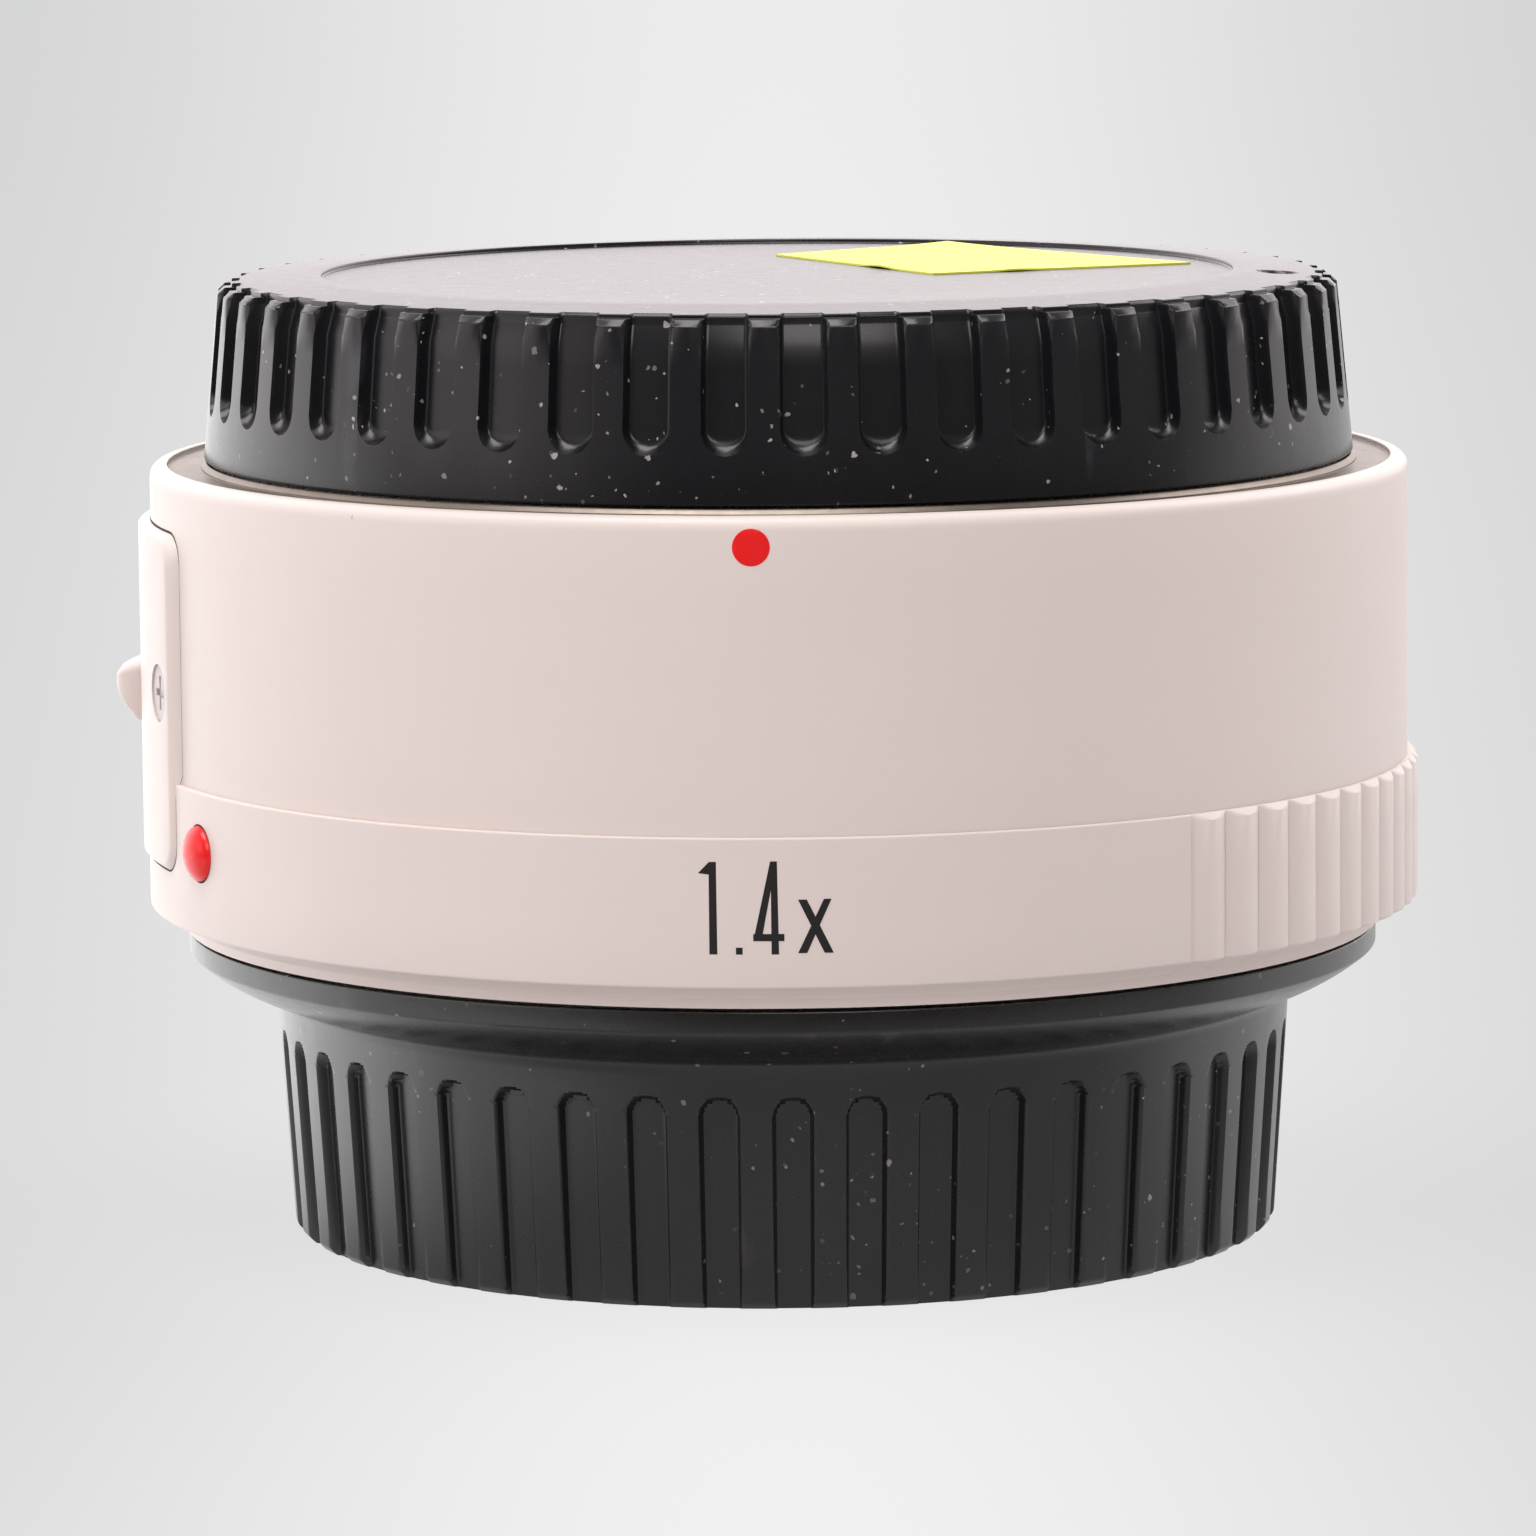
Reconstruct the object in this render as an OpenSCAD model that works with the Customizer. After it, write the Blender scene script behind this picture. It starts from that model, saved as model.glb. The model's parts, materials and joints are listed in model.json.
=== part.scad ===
// Camera teleconverter with its front and rear caps on.
// An optical tube sits between two three-lug bayonet mounts, inside a white barrel and grip ring.
// Millimetres. The origin is on the optical axis, on the table under the rear cap. +Z points to the lens.

/* [Overall] */
// Distance between the camera-side and the lens-side flange faces
flange_gap = 27.2; // [27:0.1:30]
// Height of the camera-side flange face above the table, with the rear cap on
rear_stand = 17; // [16.5:0.1:20]

/* [Grip ring] */
// How far the plain part of the grip ring stands out from the barrel
grip_step = 0.4; // [0.2:0.05:0.8]
// Wall of the grip ring
grip_wall = 2.7; // [2.4:0.1:2.9]
// Height of the seam between grip ring and upper barrel above the camera-side flange face
seam_height = 10; // [9.5:0.1:10.5]
// Gap between the camera-side flange face and the bottom edge of the ring
grip_lift = 0.55; // [0.5:0.05:0.8]
// Wall of the thin lip at the bottom edge
lip_wall = 0.7; // [0.5:0.1:1]
// Height of that lip
lip_height = 0.55; // [0.2:0.05:0.6]
// Height of the chamfer above the lip
grip_chamfer = 0.9; // [0.8:0.1:1.6]
// Number of grip ribs
rib_count = 25; // [15:1:31]
// Angle between two ribs
rib_pitch = 4.2; // [4:0.1:5]
// Radius of one rib
rib_radius = 1.2; // [1:0.1:1.3]
// Height of the rib crests above the plain ring
rib_proud = 0.2; // [0.1:0.05:0.4]
// Inward ledge that rests on the chassis
grip_ledge = 1.1; // [0.6:0.1:1.2]
// Thickness of that ledge
grip_ledge_t = 1.5; // [1:0.1:2.5]
// Height of the register
register_height = 1.3; // [0.8:0.1:2]

/* [Upper barrel] */
// Width of the barrel's shoulder around the lens-side mount
shoulder_w = 3.4; // [3.2:0.1:4]
// Wall of the barrel
barrel_wall = 1.6; // [1.4:0.1:1.65]
// How far the barrel's rim lies below the lens-side flange face
barrel_drop = 0.2; // [0.1:0.05:0.4]
// Rounding of the rim
rim_round = 0.8; // [0.4:0.1:1]
// Depth of the top face inside the rim
rim_step = 0.3; // [0.2:0.05:0.5]
// Width of the rim
rim_width = 1.0; // [0.9:0.1:1.4]
// Thickness of the inner flange that the mount ring clamps
clamp_t = 0.8; // [0.6:0.1:0.9]
// Inward reach of that flange under the mount ring
clamp_reach = 1.5; // [1:0.1:1.6]

/* [Release catch] */
// How far the cover stands out from the grip ring
cover_proud = 0.3; // [0.25:0.05:0.8]
// Angle that the cover spans
cover_span = 42; // [40:1:50]
// Reach of the cover below the seam
cover_below = 5; // [4:0.1:6]
// Gap between the cover's top edge and the barrel's rim
cover_drop = 3.1; // [2.5:0.1:4]
// Corner radius of the cover
cover_corner = 1.5; // [0.5:0.1:3]
// Gap between the cup's floor and the catch arm
arm_drop = 2.2; // [1.9:0.1:2.3]
// Thickness of the arm
arm_t = 2; // [1.6:0.1:2.2]
// Width of the arm
arm_w = 4; // [3.6:0.1:5]
// Width of the stem that carries the knob
stem_w = 2.4; // [2:0.1:3]
// Travel of the catch
release_travel = 2.2; // [1.6:0.1:2.3]
// Width of the knob
knob_w = 4; // [3.6:0.1:8]
// Height of the knob
knob_h = 3.4; // [3:0.1:5]
// How far the knob stands out from its foot
knob_out = 1.2; // [0.8:0.05:2]
// Diameter of the lock pin
lock_pin_dia = 2.2; // [1.8:0.1:2.3]
// Distance of the lock pin and the lens-side mount screws from the edge of the mount
pin_inset = 2.6; // [2.5:0.05:2.7]
// How far the lock pin stands out of the lens-side flange face
lock_pin_out = 1.2; // [0.8:0.1:1.5]
// Height of the guide boss under the lock pin
boss_height = 3.1; // [2.8:0.1:3.4]
// Wire of the release spring
spring_wire = 0.4; // [0.3:0.05:0.45]
// Turns of the release spring
spring_turns = 5; // [4:1:6]

/* [Mounts] */
// Throat of the lens-side mount
throat_dia = 54; // [50:0.1:60]
// Width of the lens-side mount ring around its throat
mount_w = 5.4; // [5.3:0.1:6]
// Inward reach of the lens-side lugs
front_lug_reach = 1.7; // [1.4:0.1:1.9]
// Thickness of the lens-side lugs
front_lug_t = 1.4; // [1.2:0.1:1.5]
// Angle that one lens-side lug spans
front_lug_span = 56; // [50:1:58]
// Thickness of the lens-side mount ring
front_mount_t = 2.4; // [2.2:0.1:2.8]
// Thickness of the camera-side flange
rear_mount_t = 1.8; // [1.5:0.1:2.4]
// How much narrower the camera-side spigot is than the lens-side lugs, on the radius
spigot_less = 0.4; // [0.3:0.05:0.5]
// Wall of that spigot
spigot_wall = 1.5; // [1.2:0.1:1.5]
// Length of that spigot below its flange face
spigot_length = 5.8; // [5.4:0.1:6.2]
// Outward reach of the camera-side lugs
rear_lug_reach = 1.5; // [1.2:0.1:1.6]
// Thickness of the camera-side lugs
rear_lug_t = 1.4; // [1.2:0.1:1.6]
// Gap between the camera-side flange face and its lugs
rear_lug_gap = 2.9; // [2.8:0.1:3.1]
// Angle that one camera-side lug spans
rear_lug_span = 50; // [44:1:56]
// Thickness of the shims under both mounts
shim_t = 0.2; // [0.1:0.05:0.4]
// Distance of the camera-side mount screws from the edge of the mount
rear_screw_inset = 3.8; // [3.2:0.1:4.2]
// Head diameter of the mount screws
mount_head_dia = 3; // [2.6:0.1:3]
// Head height of the mount screws
mount_head_h = 1; // [0.8:0.1:1.1]
// Shank diameter of the mount screws
mount_shank_dia = 1.6; // [1.4:0.1:2]
// Thickness of the leaf springs under the lens-side lugs
leaf_t = 0.25; // [0.2:0.05:0.3]
// Rise of the leaf springs' ends
leaf_rise = 0.3; // [0.2:0.05:0.35]
// Angle that one leaf spring spans
leaf_span = 44; // [36:1:48]

/* [Chassis] */
// Thickness of the chassis plates
plate_t = 2.2; // [2:0.1:2.6]
// Wall of the central tube
tube_wall = 2; // [1.8:0.1:2.1]
// Depth of the cup behind the lens-side mount
cup_depth = 5.7; // [5.5:0.1:6]
// Thickness of the cup's floor
floor_t = 1.8; // [1.5:0.1:2.2]
// Wall of the cup
cup_wall = 1.2; // [0.9:0.1:1.3]
// Depth of the rear cell's seat in the tube
rear_seat_depth = 8.3; // [8:0.1:8.6]
// Thickness of the rib between the two cells
seat_rib_t = 1.2; // [1:0.1:1.6]
// Inward reach of that rib
seat_rib_reach = 1.8; // [1.2:0.1:2.4]

/* [Optics] */
// Room between the lens cells and the throat, for the contacts
contact_room = 6.5; // [6.4:0.1:6.8]
// Height of the front cell's nose above the lens-side flange face
nose_height = 7.3; // [7.2:0.1:7.5]
// Chamfer of the nose
nose_chamfer = 1.3; // [0.8:0.1:1.6]
// How far the rear cell reaches down from the camera-side flange face
rear_cell_drop = 2.7; // [2.5:0.1:2.8]
// Wall of the front cell around the front lens
front_cell_wall = 2.7; // [2.2:0.1:3]
// How much smaller the cemented doublet is than the front lens, on the radius
doublet_step = 1.2; // [0.8:0.1:1.6]
// Wall of the rear cell around the two rear lenses
rear_cell_wall = 4.6; // [4.2:0.1:5]
// Depth of the front lens's rim below the nose
lens_recess = 2.3; // [2:0.1:2.6]
// Rim thickness of the front lens
front_lens_t = 3.9; // [3.6:0.1:4]
// Rim thickness of the doublet's crown
crown_t = 4; // [3.6:0.1:4.4]
// Rim thickness of the doublet's flint
flint_t = 5.2; // [5:0.1:5.6]
// Rim thickness of the negative lens
negative_t = 4; // [3.8:0.1:4.2]
// Rim thickness of the rear lens
rear_lens_t = 3.4; // [3.2:0.1:3.6]
// Radial wall of the retaining rings and the spacer
retainer_wall = 1.2; // [1:0.1:1.6]
// Thickness of the retaining rings
retainer_t = 1.4; // [1.2:0.1:1.5]
// Thickness of the spacer between the rear lenses
spacer_t = 1.8; // [1.6:0.1:2]
// Inward reach of the ledges that the lenses seat on
lens_ledge = 1; // [0.6:0.1:1.4]
// Width of the field stop's ring
stop_w = 5.7; // [4:0.1:7]
// Thickness of the field stop
stop_t = 0.4; // [0.2:0.1:0.8]
// Gap between the rear lens's edge and each end of the rear baffle's window
window_end = 2.9; // [2.4:0.1:4]
// Gap between the rear lens's edge and each long side of the window
window_side = 6.9; // [6.4:0.1:8]
// Thickness of the rear baffle
baffle_t = 1.2; // [1:0.1:1.3]

/* [Electronics] */
// Number of contacts on each side
contact_count = 9; // [5:1:9]
// Diameter of the sprung contact pins
contact_dia = 1; // [0.8:0.1:1.1]
// Height of the pins above their block
contact_out = 1.2; // [1:0.1:1.4]
// Travel of the pins
contact_travel = 0.8; // [0.5:0.1:0.9]
// Height of the lens-side contact block
front_block_h = 3.4; // [3.2:0.1:3.6]
// Angle that both contact blocks span
block_span = 68; // [64:1:72]
// Angle between the end of a block and its last contact
block_end = 9.2; // [9:0.1:10]
// Angle between the end of a block and its screw
block_screw_end = 4; // [3.8:0.1:4.2]
// Drop of the camera-side contact block below its flange face
rear_block_drop = 5.7; // [5.2:0.1:5.7]
// Thickness of the gold pads
pad_t = 0.15; // [0.1:0.05:0.2]
// Diameter of the gold pads
pad_dia = 1.6; // [1.2:0.1:1.8]
// Height of the circuit board above the rear chassis plate
board_lift = 6.1; // [6:0.1:6.5]
// Thickness of the circuit board
board_t = 1; // [0.8:0.1:1.2]
// Angle that the circuit board spans
board_span = 260; // [240:5:280]
// Width of the ring-shaped circuit board
board_w = 8; // [7.5:0.1:8.3]
// Thickness of the flexible leads
flex_t = 0.2; // [0.15:0.05:0.25]
// Width of the flexible leads
flex_w = 8; // [6:0.5:10]

/* [Front cap] */
// How far the front cap's foot stands out from the mount
cap_overhang = 0.3; // [0.2:0.05:0.6]
// Room between the nose and the cap's ceiling
nose_room = 0.8; // [0.6:0.1:3]
// Taper of the front cap on the radius
front_cap_taper = 0.9; // [0.4:0.1:1]
// Bevel of the cap's top edge
front_cap_bevel = 0.6; // [0.4:0.1:0.9]
// Width of the rim around the sunk disc
cap_rim_w = 5.9; // [5:0.1:7]
// Rise of the rim from its outer edge to its flat top
cap_rim_rise = 0.25; // [0.1:0.05:0.4]
// Width of the flat top beside the disc
cap_rim_flat = 0.8; // [0.5:0.1:1.2]
// Depth of the sunk disc
disc_depth = 0.25; // [0.15:0.05:0.4]
// Thickness of the top below the disc
front_cap_top = 2; // [1.6:0.1:2.2]
// Number of flutes
front_flutes = 48; // [36:1:48]
// Width of one flute
front_flute_w = 2.5; // [1.8:0.1:2.6]
// Depth of one flute
front_flute_d = 0.8; // [0.4:0.1:0.9]
// Height of the plain band below the flutes
front_band = 2.65; // [2.5:0.05:4]
// Wall of the cap's skirt at its foot
skirt_wall = 1.4; // [1.2:0.1:1.5]
// Wall of the skirt above the lock pin
skirt_wall_up = 1.8; // [1.7:0.1:2]
// Wall of the cap's bayonet spigot
cap_spigot_wall = 1.4; // [1:0.1:1.5]
// Reach of that spigot below the lens-side flange face
cap_spigot_reach = 4.3; // [4.1:0.1:4.4]
// Thickness of the cap's lugs
cap_lug_t = 1.6; // [1.2:0.1:1.7]
// Diameter of the index dimple on the rim
dimple_dia = 2.3; // [1.5:0.1:2.6]
// Length of the plain label
label_l = 21; // [10:0.5:21.5]
// Width of the plain label
label_w = 15; // [8:0.5:15.5]
// Thickness of the label
label_t = 0.1; // [0.05:0.05:0.2]
// Distance of the label's middle from the edge of the disc
label_inset = 11.4; // [11.2:0.1:12]

/* [Rear cap] */
// Wall of the rear cap at its base
rear_cap_wall = 1.5; // [1.25:0.05:1.8]
// Growth of the radius up to the top of the fluted wall
rear_cap_taper = 0.85; // [0.5:0.05:1.5]
// Height from the fluted wall up to the flange's edge
flange_rise = 2.4; // [2:0.05:3.4]
// Gap between the camera-side mount and the cap's lip
rear_cap_room = 0.5; // [0.3:0.05:0.7]
// Height of the flange edge
flange_edge = 1.2; // [0.8:0.1:1.6]
// Outward bulge of the flange's underside
flange_bulge = 0.35; // [0.2:0.05:0.6]
// Wall of the lip around the mount flange
cap_lip_wall = 1.1; // [0.8:0.05:1.3]
// How far that lip rises past the camera-side flange face
cap_lip_rise = 0.35; // [0.2:0.05:0.4]
// Thickness of the rear cap's floor
rear_cap_floor = 1.5; // [1:0.1:2]
// Number of flutes
rear_flutes = 45; // [30:1:45]
// Width of one flute
rear_flute_w = 2.05; // [1.4:0.05:2.2]
// Depth of one flute
rear_flute_d = 0.6; // [0.3:0.1:0.7]
// Plain height left above the flutes
flute_stop = 2; // [1.6:0.1:2.6]
// Thickness of the rear cap's lugs
rear_cap_lug_t = 1.5; // [1.2:0.1:1.6]
// Chamfer of the rear cap's bottom edge
cap_edge = 0.4; // [0.2:0.1:0.5]

/* [Index marks] */
// Diameter of the red dot by the lens-side mount
dot_dia = 2; // [1.5:0.1:2.2]
// Diameter of the red bead by the camera-side mount
bead_dia = 3.1; // [2.4:0.1:3.4]
// Height of the bead's dome
bead_dome = 0.8; // [0.4:0.1:1.2]
// Depth of the seats of both marks
mark_seat = 0.5; // [0.3:0.1:0.8]
// How far the dot reaches up into the barrel's rounded rim
dot_rise = 0.2; // [0:0.05:0.3]
// Distance of the bead below the seam
bead_drop = 3.4; // [3:0.1:5]

/* [Fits] */
// Running fit between nested parts, on the radius
slip_fit = 0.1; // [0.05:0.01:0.12]
// Fit of screws and pressed-in marks, on the radius
screw_fit = 0.05; // [0.03:0.01:0.08]
// Gap between parts that slide past each other
slide_fit = 0.3; // [0.2:0.05:0.35]
// Gap under a cap that sits on a flange
seat_fit = 0.15; // [0.1:0.05:0.2]
// Cement layer in the doublet
cement = 0.02; // [0.01:0.01:0.05]

/* [Hidden] */
$fn = 96;
// Facets of the large spheres that bound the lenses
lens_fn = 320;
// Overshoot of cutting bodies
cut = 1;
// Small chamfers on the shells' edges and on the mounts' edges
edge_break = 0.2;
mount_break = 0.1;
// How far lugs are rooted in the wall that carries them
lug_root = 0.5;
// Angle that one lug of a cap spans
cap_lug_span = 50;
// Thickness of the ledge between the front lens and the doublet, and of the one before the negative lens
ledge_t = 0.9;
rear_ledge_t = 0.6;
// Flat shoulder on the rim of each lens, and the height of the slabs that bound the lenses
lens_shoulder = retainer_wall + slip_fit;
lens_slab = 20;
// Curves of the lens surfaces, from the front to the rear
front_lens_curve = 90;
front_lens_back = 120;
crown_curve = 70;
cement_curve = 80;
flint_curve = 60;
negative_curve = 50;
negative_back = 200;
rear_lens_curve = 80;
rear_lens_back = 120;
// Roof of the contact block over the pins' collars, the collars' height and their width
block_roof = 0.8;
collar_t = 0.55;
collar_w = 0.25;
// Gap behind the contact block, its wall behind the pins, and the distance of its screws from its front
block_gap = 0.4;
block_wall = 0.75;
block_screw_inset = 1.5;
// Angle that the baffle leaves free beside the rear contact block
block_room = 3;
// Wire and turns of the contact springs
contact_wire = 0.25;
contact_turns = 3;
// Steps for each turn and sides of the wire of the coil springs
contact_coil = [10, 5];
release_coil = [18, 6];
// Wall of the boss that guides the lock pin, the pin's chamfer and its room under the front cap
boss_wall = 1.3;
pin_tip = 0.3;
pin_room = 1;
// Foot of the leaf springs, as an angle at each end
leaf_foot = 5;
// Gap between the central tube and the circuit board, and the radius of the board's posts
board_gap = 1.3;
board_post_r = 2;
// Parts on the board
chip_w = 6;
chip_h = 1;
capacitor_l = 1.6;
capacitor_w = 0.8;
// Foot of the flexible leads, and the gap between the front lead and the pins
flex_foot = 3;
flex_gap = 0.6;
// Gap under the knob, the upright part of its sides, and the lower and upper edge of its nose, as shares
knob_gap = 0.2;
knob_root = 0.25;
knob_nose = [0.05, 0.2];
// Depth of the dimple on the front cap's rim
dimple_depth = 0.4;

// Turn of the first flute of each cap from the photographed front
front_flute_turn = 2.45;
rear_flute_turn = 0.95;

// Angles about the optical axis. The photographed front is at -90 degrees.
front_side = -90;
catch_side = 180;
contact_side = 90;
lug_angles = [60, 180, 300];
gap_angles = [0, 120, 240];
mount_screw_angles = [45, 135, 225, 315];
board_post_angles = [-110, 0, 110];
baffle_screw_angles = [30, 150, 270];
dot_angle = front_side - 2.4;
bead_angle = front_side - 63;
cover_screw_angle = 17.5;
block_screw_angle = block_span / 2 - block_screw_end;
dimple_angle = -9;
label_angle = -58.5;
label_place = 43;
chip_angle = 40;
capacitor_angles = [-80, -68, -56, -44, -32, 18, 62, 68];
front_flute_start = front_side + front_flute_turn;
rear_flute_start = front_side + rear_flute_turn;

// Heights
z_rear = rear_stand;
z_front = z_rear + flange_gap;
z_seam = z_rear + seam_height;
z_grip = z_rear + grip_lift;
z_plate_low = z_rear + rear_mount_t + shim_t;
z_plate_top = z_plate_low + plate_t;
z_mount_low = z_front - front_mount_t;
z_chassis_top = z_mount_low - shim_t;
z_clamp = z_chassis_top + clamp_t;
z_front_plate = z_chassis_top - plate_t;
z_floor = z_chassis_top - cup_depth;
z_floor_low = z_floor - floor_t;
z_seat_low = z_plate_low + rear_seat_depth;
z_seat_top = z_seat_low + seat_rib_t;
z_barrel_top = z_front - barrel_drop;
z_barrel_face = z_barrel_top - rim_step;
z_nose = z_front + nose_height;
z_rear_cell = z_rear - rear_cell_drop;
z_baffle = z_rear_cell - baffle_t;
z_spigot = z_rear - spigot_length;
z_rear_lug = z_rear - rear_lug_gap;
z_block_top = z_floor + front_block_h;
z_pin_top = z_block_top + contact_out;
z_rear_block = z_rear - rear_block_drop;
z_board = z_plate_top + board_lift;
z_board_top = z_board + board_t;
z_arm_top = z_floor_low - arm_drop;
z_arm = z_arm_top - arm_t;
z_boss = z_plate_top + boss_height;
z_cap_foot = z_front + seat_fit;
z_cap_ceiling = z_nose + nose_room;
z_disc = z_cap_ceiling + front_cap_top;
z_cap_top = z_disc + disc_depth;
z_cap_edge = z_cap_top - cap_rim_rise;
z_cap_spigot = z_front - cap_spigot_reach;
z_cap_lug = z_front - front_lug_t - slide_fit - cap_lug_t - slide_fit;
z_rear_cap_face = z_rear - seat_fit;
z_rear_cap_lip = z_rear + cap_lip_rise;
z_rear_cap_edge = z_rear_cap_lip - flange_edge;
z_rear_cap_lug = z_rear_lug + slide_fit;
fluted_height = z_rear_cap_edge - flange_rise;
z_cover = z_seam - cover_below;
z_cover_top = z_barrel_top - cover_drop;
z_cover_screw = z_arm_top;
// The red dot sits just below the barrel's rounded rim, the bead on the plain part of the grip ring
z_dot = z_barrel_top - rim_round - dot_dia / 2 + dot_rise;
z_bead = z_seam - bead_drop;
// Lens rims, from the front to the rear
z_front_lens_top = z_nose - lens_recess;
z_front_lens = z_front_lens_top - front_lens_t;
z_crown_top = z_front_lens - 2 * ledge_t;
z_crown = z_crown_top - crown_t;
z_flint = z_crown - flint_t;
z_negative_top = z_seat_low - rear_ledge_t;
z_negative = z_negative_top - negative_t;
z_rear_lens_top = z_negative - spacer_t;
z_rear_lens = z_rear_lens_top - rear_lens_t;
// The pins' collars hang under the block's roof
z_collar = z_block_top - block_roof - screw_fit - collar_t;
// The front cap's skirt is wider here, to clear the lock pin
z_pin_room = z_front + lock_pin_out + pin_room;

// Radii. The mounts come first, the tube and the lenses fit inside them, and the shells around them.
throat_r = throat_dia / 2;
mount_r = throat_r + mount_w;
rebate_r = mount_r - clamp_reach;
pin_circle = mount_r - pin_inset;
front_lug_r = throat_r - front_lug_reach;
spigot_r = front_lug_r - spigot_less;
spigot_bore = spigot_r - spigot_wall;
rear_lug_r = spigot_r + rear_lug_reach;
rear_screw_circle = mount_r - rear_screw_inset;
cell_r = throat_r - contact_room;
tube_bore = cell_r + slip_fit;
tube_r = tube_bore + tube_wall;
rib_inner_r = tube_bore - seat_rib_reach;
front_lens_r = cell_r - front_cell_wall;
doublet_r = front_lens_r - doublet_step;
rear_lens_r = cell_r - rear_cell_wall;
stop_r = rib_inner_r - slip_fit;
cup_bore = throat_r + slip_fit;
cup_r = cup_bore + cup_wall;
barrel_r = mount_r + shoulder_w;
barrel_bore = barrel_r - barrel_wall;
front_plate_r = barrel_bore - slip_fit;
grip_r = barrel_r + grip_step;
grip_bore = grip_r - grip_wall;
register_r = barrel_bore - slip_fit;
lip_r = grip_bore + lip_wall;
rear_plate_r = grip_bore - slip_fit;
cover_r = grip_r + cover_proud;
knob_foot = cover_r + knob_gap;
lock_pin_r = lock_pin_dia / 2;
lock_bore = lock_pin_r + slip_fit;
contact_r = contact_dia / 2;
collar_r = contact_r + collar_w;
pin_well_r = collar_r + slip_fit;
front_block_in = tube_bore + block_gap;
front_block_out = cup_bore - slide_fit;
contact_circle = front_block_in + pin_well_r + block_wall;
block_screw_circle = front_block_out - block_screw_inset;
front_flex_r = contact_circle + pin_well_r + flex_gap;
rear_flex_r = tube_r + slide_fit;
rear_block_in = tube_bore + slip_fit;
rear_block_out = spigot_bore - 2 * slip_fit;
pad_circle = (rear_block_in + rear_block_out) / 2;
board_in = tube_r + board_gap;
board_out = board_in + board_w;
board_post_circle = (board_in + board_out) / 2;
baffle_r = spigot_bore - 3 * slip_fit;
baffle_screw_circle = (rear_lens_r + cell_r) / 2;
front_cap_r = mount_r + cap_overhang;
cap_top_r = front_cap_r - front_cap_taper;
skirt_bore = front_cap_r - skirt_wall;
skirt_bore_up = cap_top_r - skirt_wall_up;
cap_spigot_r = front_lug_r - slide_fit;
cap_lug_r = throat_r - slide_fit;
disc_r = cap_top_r - cap_rim_w;
dimple_circle = (disc_r + cap_top_r - front_cap_bevel) / 2;
label_centre = disc_r - label_inset;
rear_cap_bore = rear_lug_r + slide_fit;
rear_cap_r = rear_cap_bore + rear_cap_wall;
rear_cap_wall_r = rear_cap_r + rear_cap_taper;
rear_cap_lip_in = mount_r + rear_cap_room;
rear_cap_flange_r = rear_cap_lip_in + cap_lip_wall;

// Angles of the repeated parts
contact_pitch = (block_span - 2 * block_end) / (contact_count - 1);
contact_angles = [for (i = [0:contact_count - 1])
    contact_side + (i - (contact_count - 1) / 2) * contact_pitch];
block_screw_angles = [contact_side - block_screw_angle, contact_side + block_screw_angle];
cover_screw_angles = [catch_side - cover_screw_angle, catch_side + cover_screw_angle];

// Head diameter, head height and shank diameter of the small screws
small_head_dia = 2.2;
small_head_h = 0.8;
small_shank_dia = 1.2;
// The same of the screws in the rear contact block
tiny_head_dia = 1.8;
tiny_head_h = 0.7;
tiny_shank_dia = 1;
// The same of the cover's screws, and the depth of their heads below the cover's face
cover_head_dia = 3.2;
cover_head_h = 0.35;
cover_shank_dia = 1.4;
cover_recess = 0.15;
// Depth of the screws' threads, metal left below their ends, and the room in their holes
thread_depth = 3;
thread_end = 0.4;
screw_room = 0.2;
// Reach and width of the cross in a screw's head, as shares of its head and its shank
cross_reach = 0.6;
cross_w = 0.6;
// A kind of screw: head radius, head height and shank radius
mount_screw = [mount_head_dia / 2, mount_head_h, mount_shank_dia / 2];
small_screw = [small_head_dia / 2, small_head_h, small_shank_dia / 2];
tiny_screw = [tiny_head_dia / 2, tiny_head_h, tiny_shank_dia / 2];
cover_screw = [cover_head_dia / 2, cover_head_h, cover_shank_dia / 2];
// Lengths of the shanks
front_screw_length = front_mount_t - mount_head_h + shim_t + plate_t - thread_end;
rear_screw_length = rear_mount_t - mount_head_h + shim_t + plate_t - thread_end;
block_screw_length = front_block_h - small_head_h + floor_t - thread_end;
rear_block_screw_length = z_plate_top - thread_end - z_rear_block - tiny_head_h;
board_screw_length = board_t + thread_depth;
cover_screw_length = cover_r - cover_recess - cover_head_h - barrel_bore;

// Points on a round arc
function arc(centre, radius, from, to, steps = 8) =
    [for (i = [0:steps]) let (a = from + (to - from) * i / steps) centre + radius * [cos(a), sin(a)]];

// Points from a to b on a curve that bulges to the right of that way
function bow(a, b, rise, steps = 10) =
    let (d = b - a, side = [d[1], -d[0]] / norm(d))
    [for (i = [0:steps]) let (t = i / steps) a + t * d + 4 * rise * t * (1 - t) * side];

// A turned body from its half section
module turned(section) rotate_extrude() polygon(section);

// A round tube
module tube(r_in, r_out, z_low, z_top) {
    difference() {
        translate([0, 0, z_low]) cylinder(r = r_out, h = z_top - z_low);
        translate([0, 0, z_low - cut]) cylinder(r = r_in, h = z_top - z_low + 2 * cut);
    }
}

// Part of a round tube, about the angle mid
module sector(r_in, r_out, z_low, z_top, mid, span) {
    rotate([0, 0, mid - span / 2]) rotate_extrude(angle = span)
        translate([r_in, z_low]) square([r_out - r_in, z_top - z_low]);
}

// Copies about the optical axis, at the distance circle and the height z
module around(angles, circle = 0, z = 0) {
    for (a = angles) rotate([0, 0, a]) translate([circle, 0, z]) children();
}

// Turns a body that stands on +Z so that it points outwards at the given angle and height
module outward(angle, z) rotate([0, 0, angle]) translate([0, 0, z]) rotate([0, 90, 0]) children();

// A round hole between two heights
module bore(r, z_low, z_top) translate([0, 0, z_low]) cylinder(r = r, h = z_top - z_low);

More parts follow.
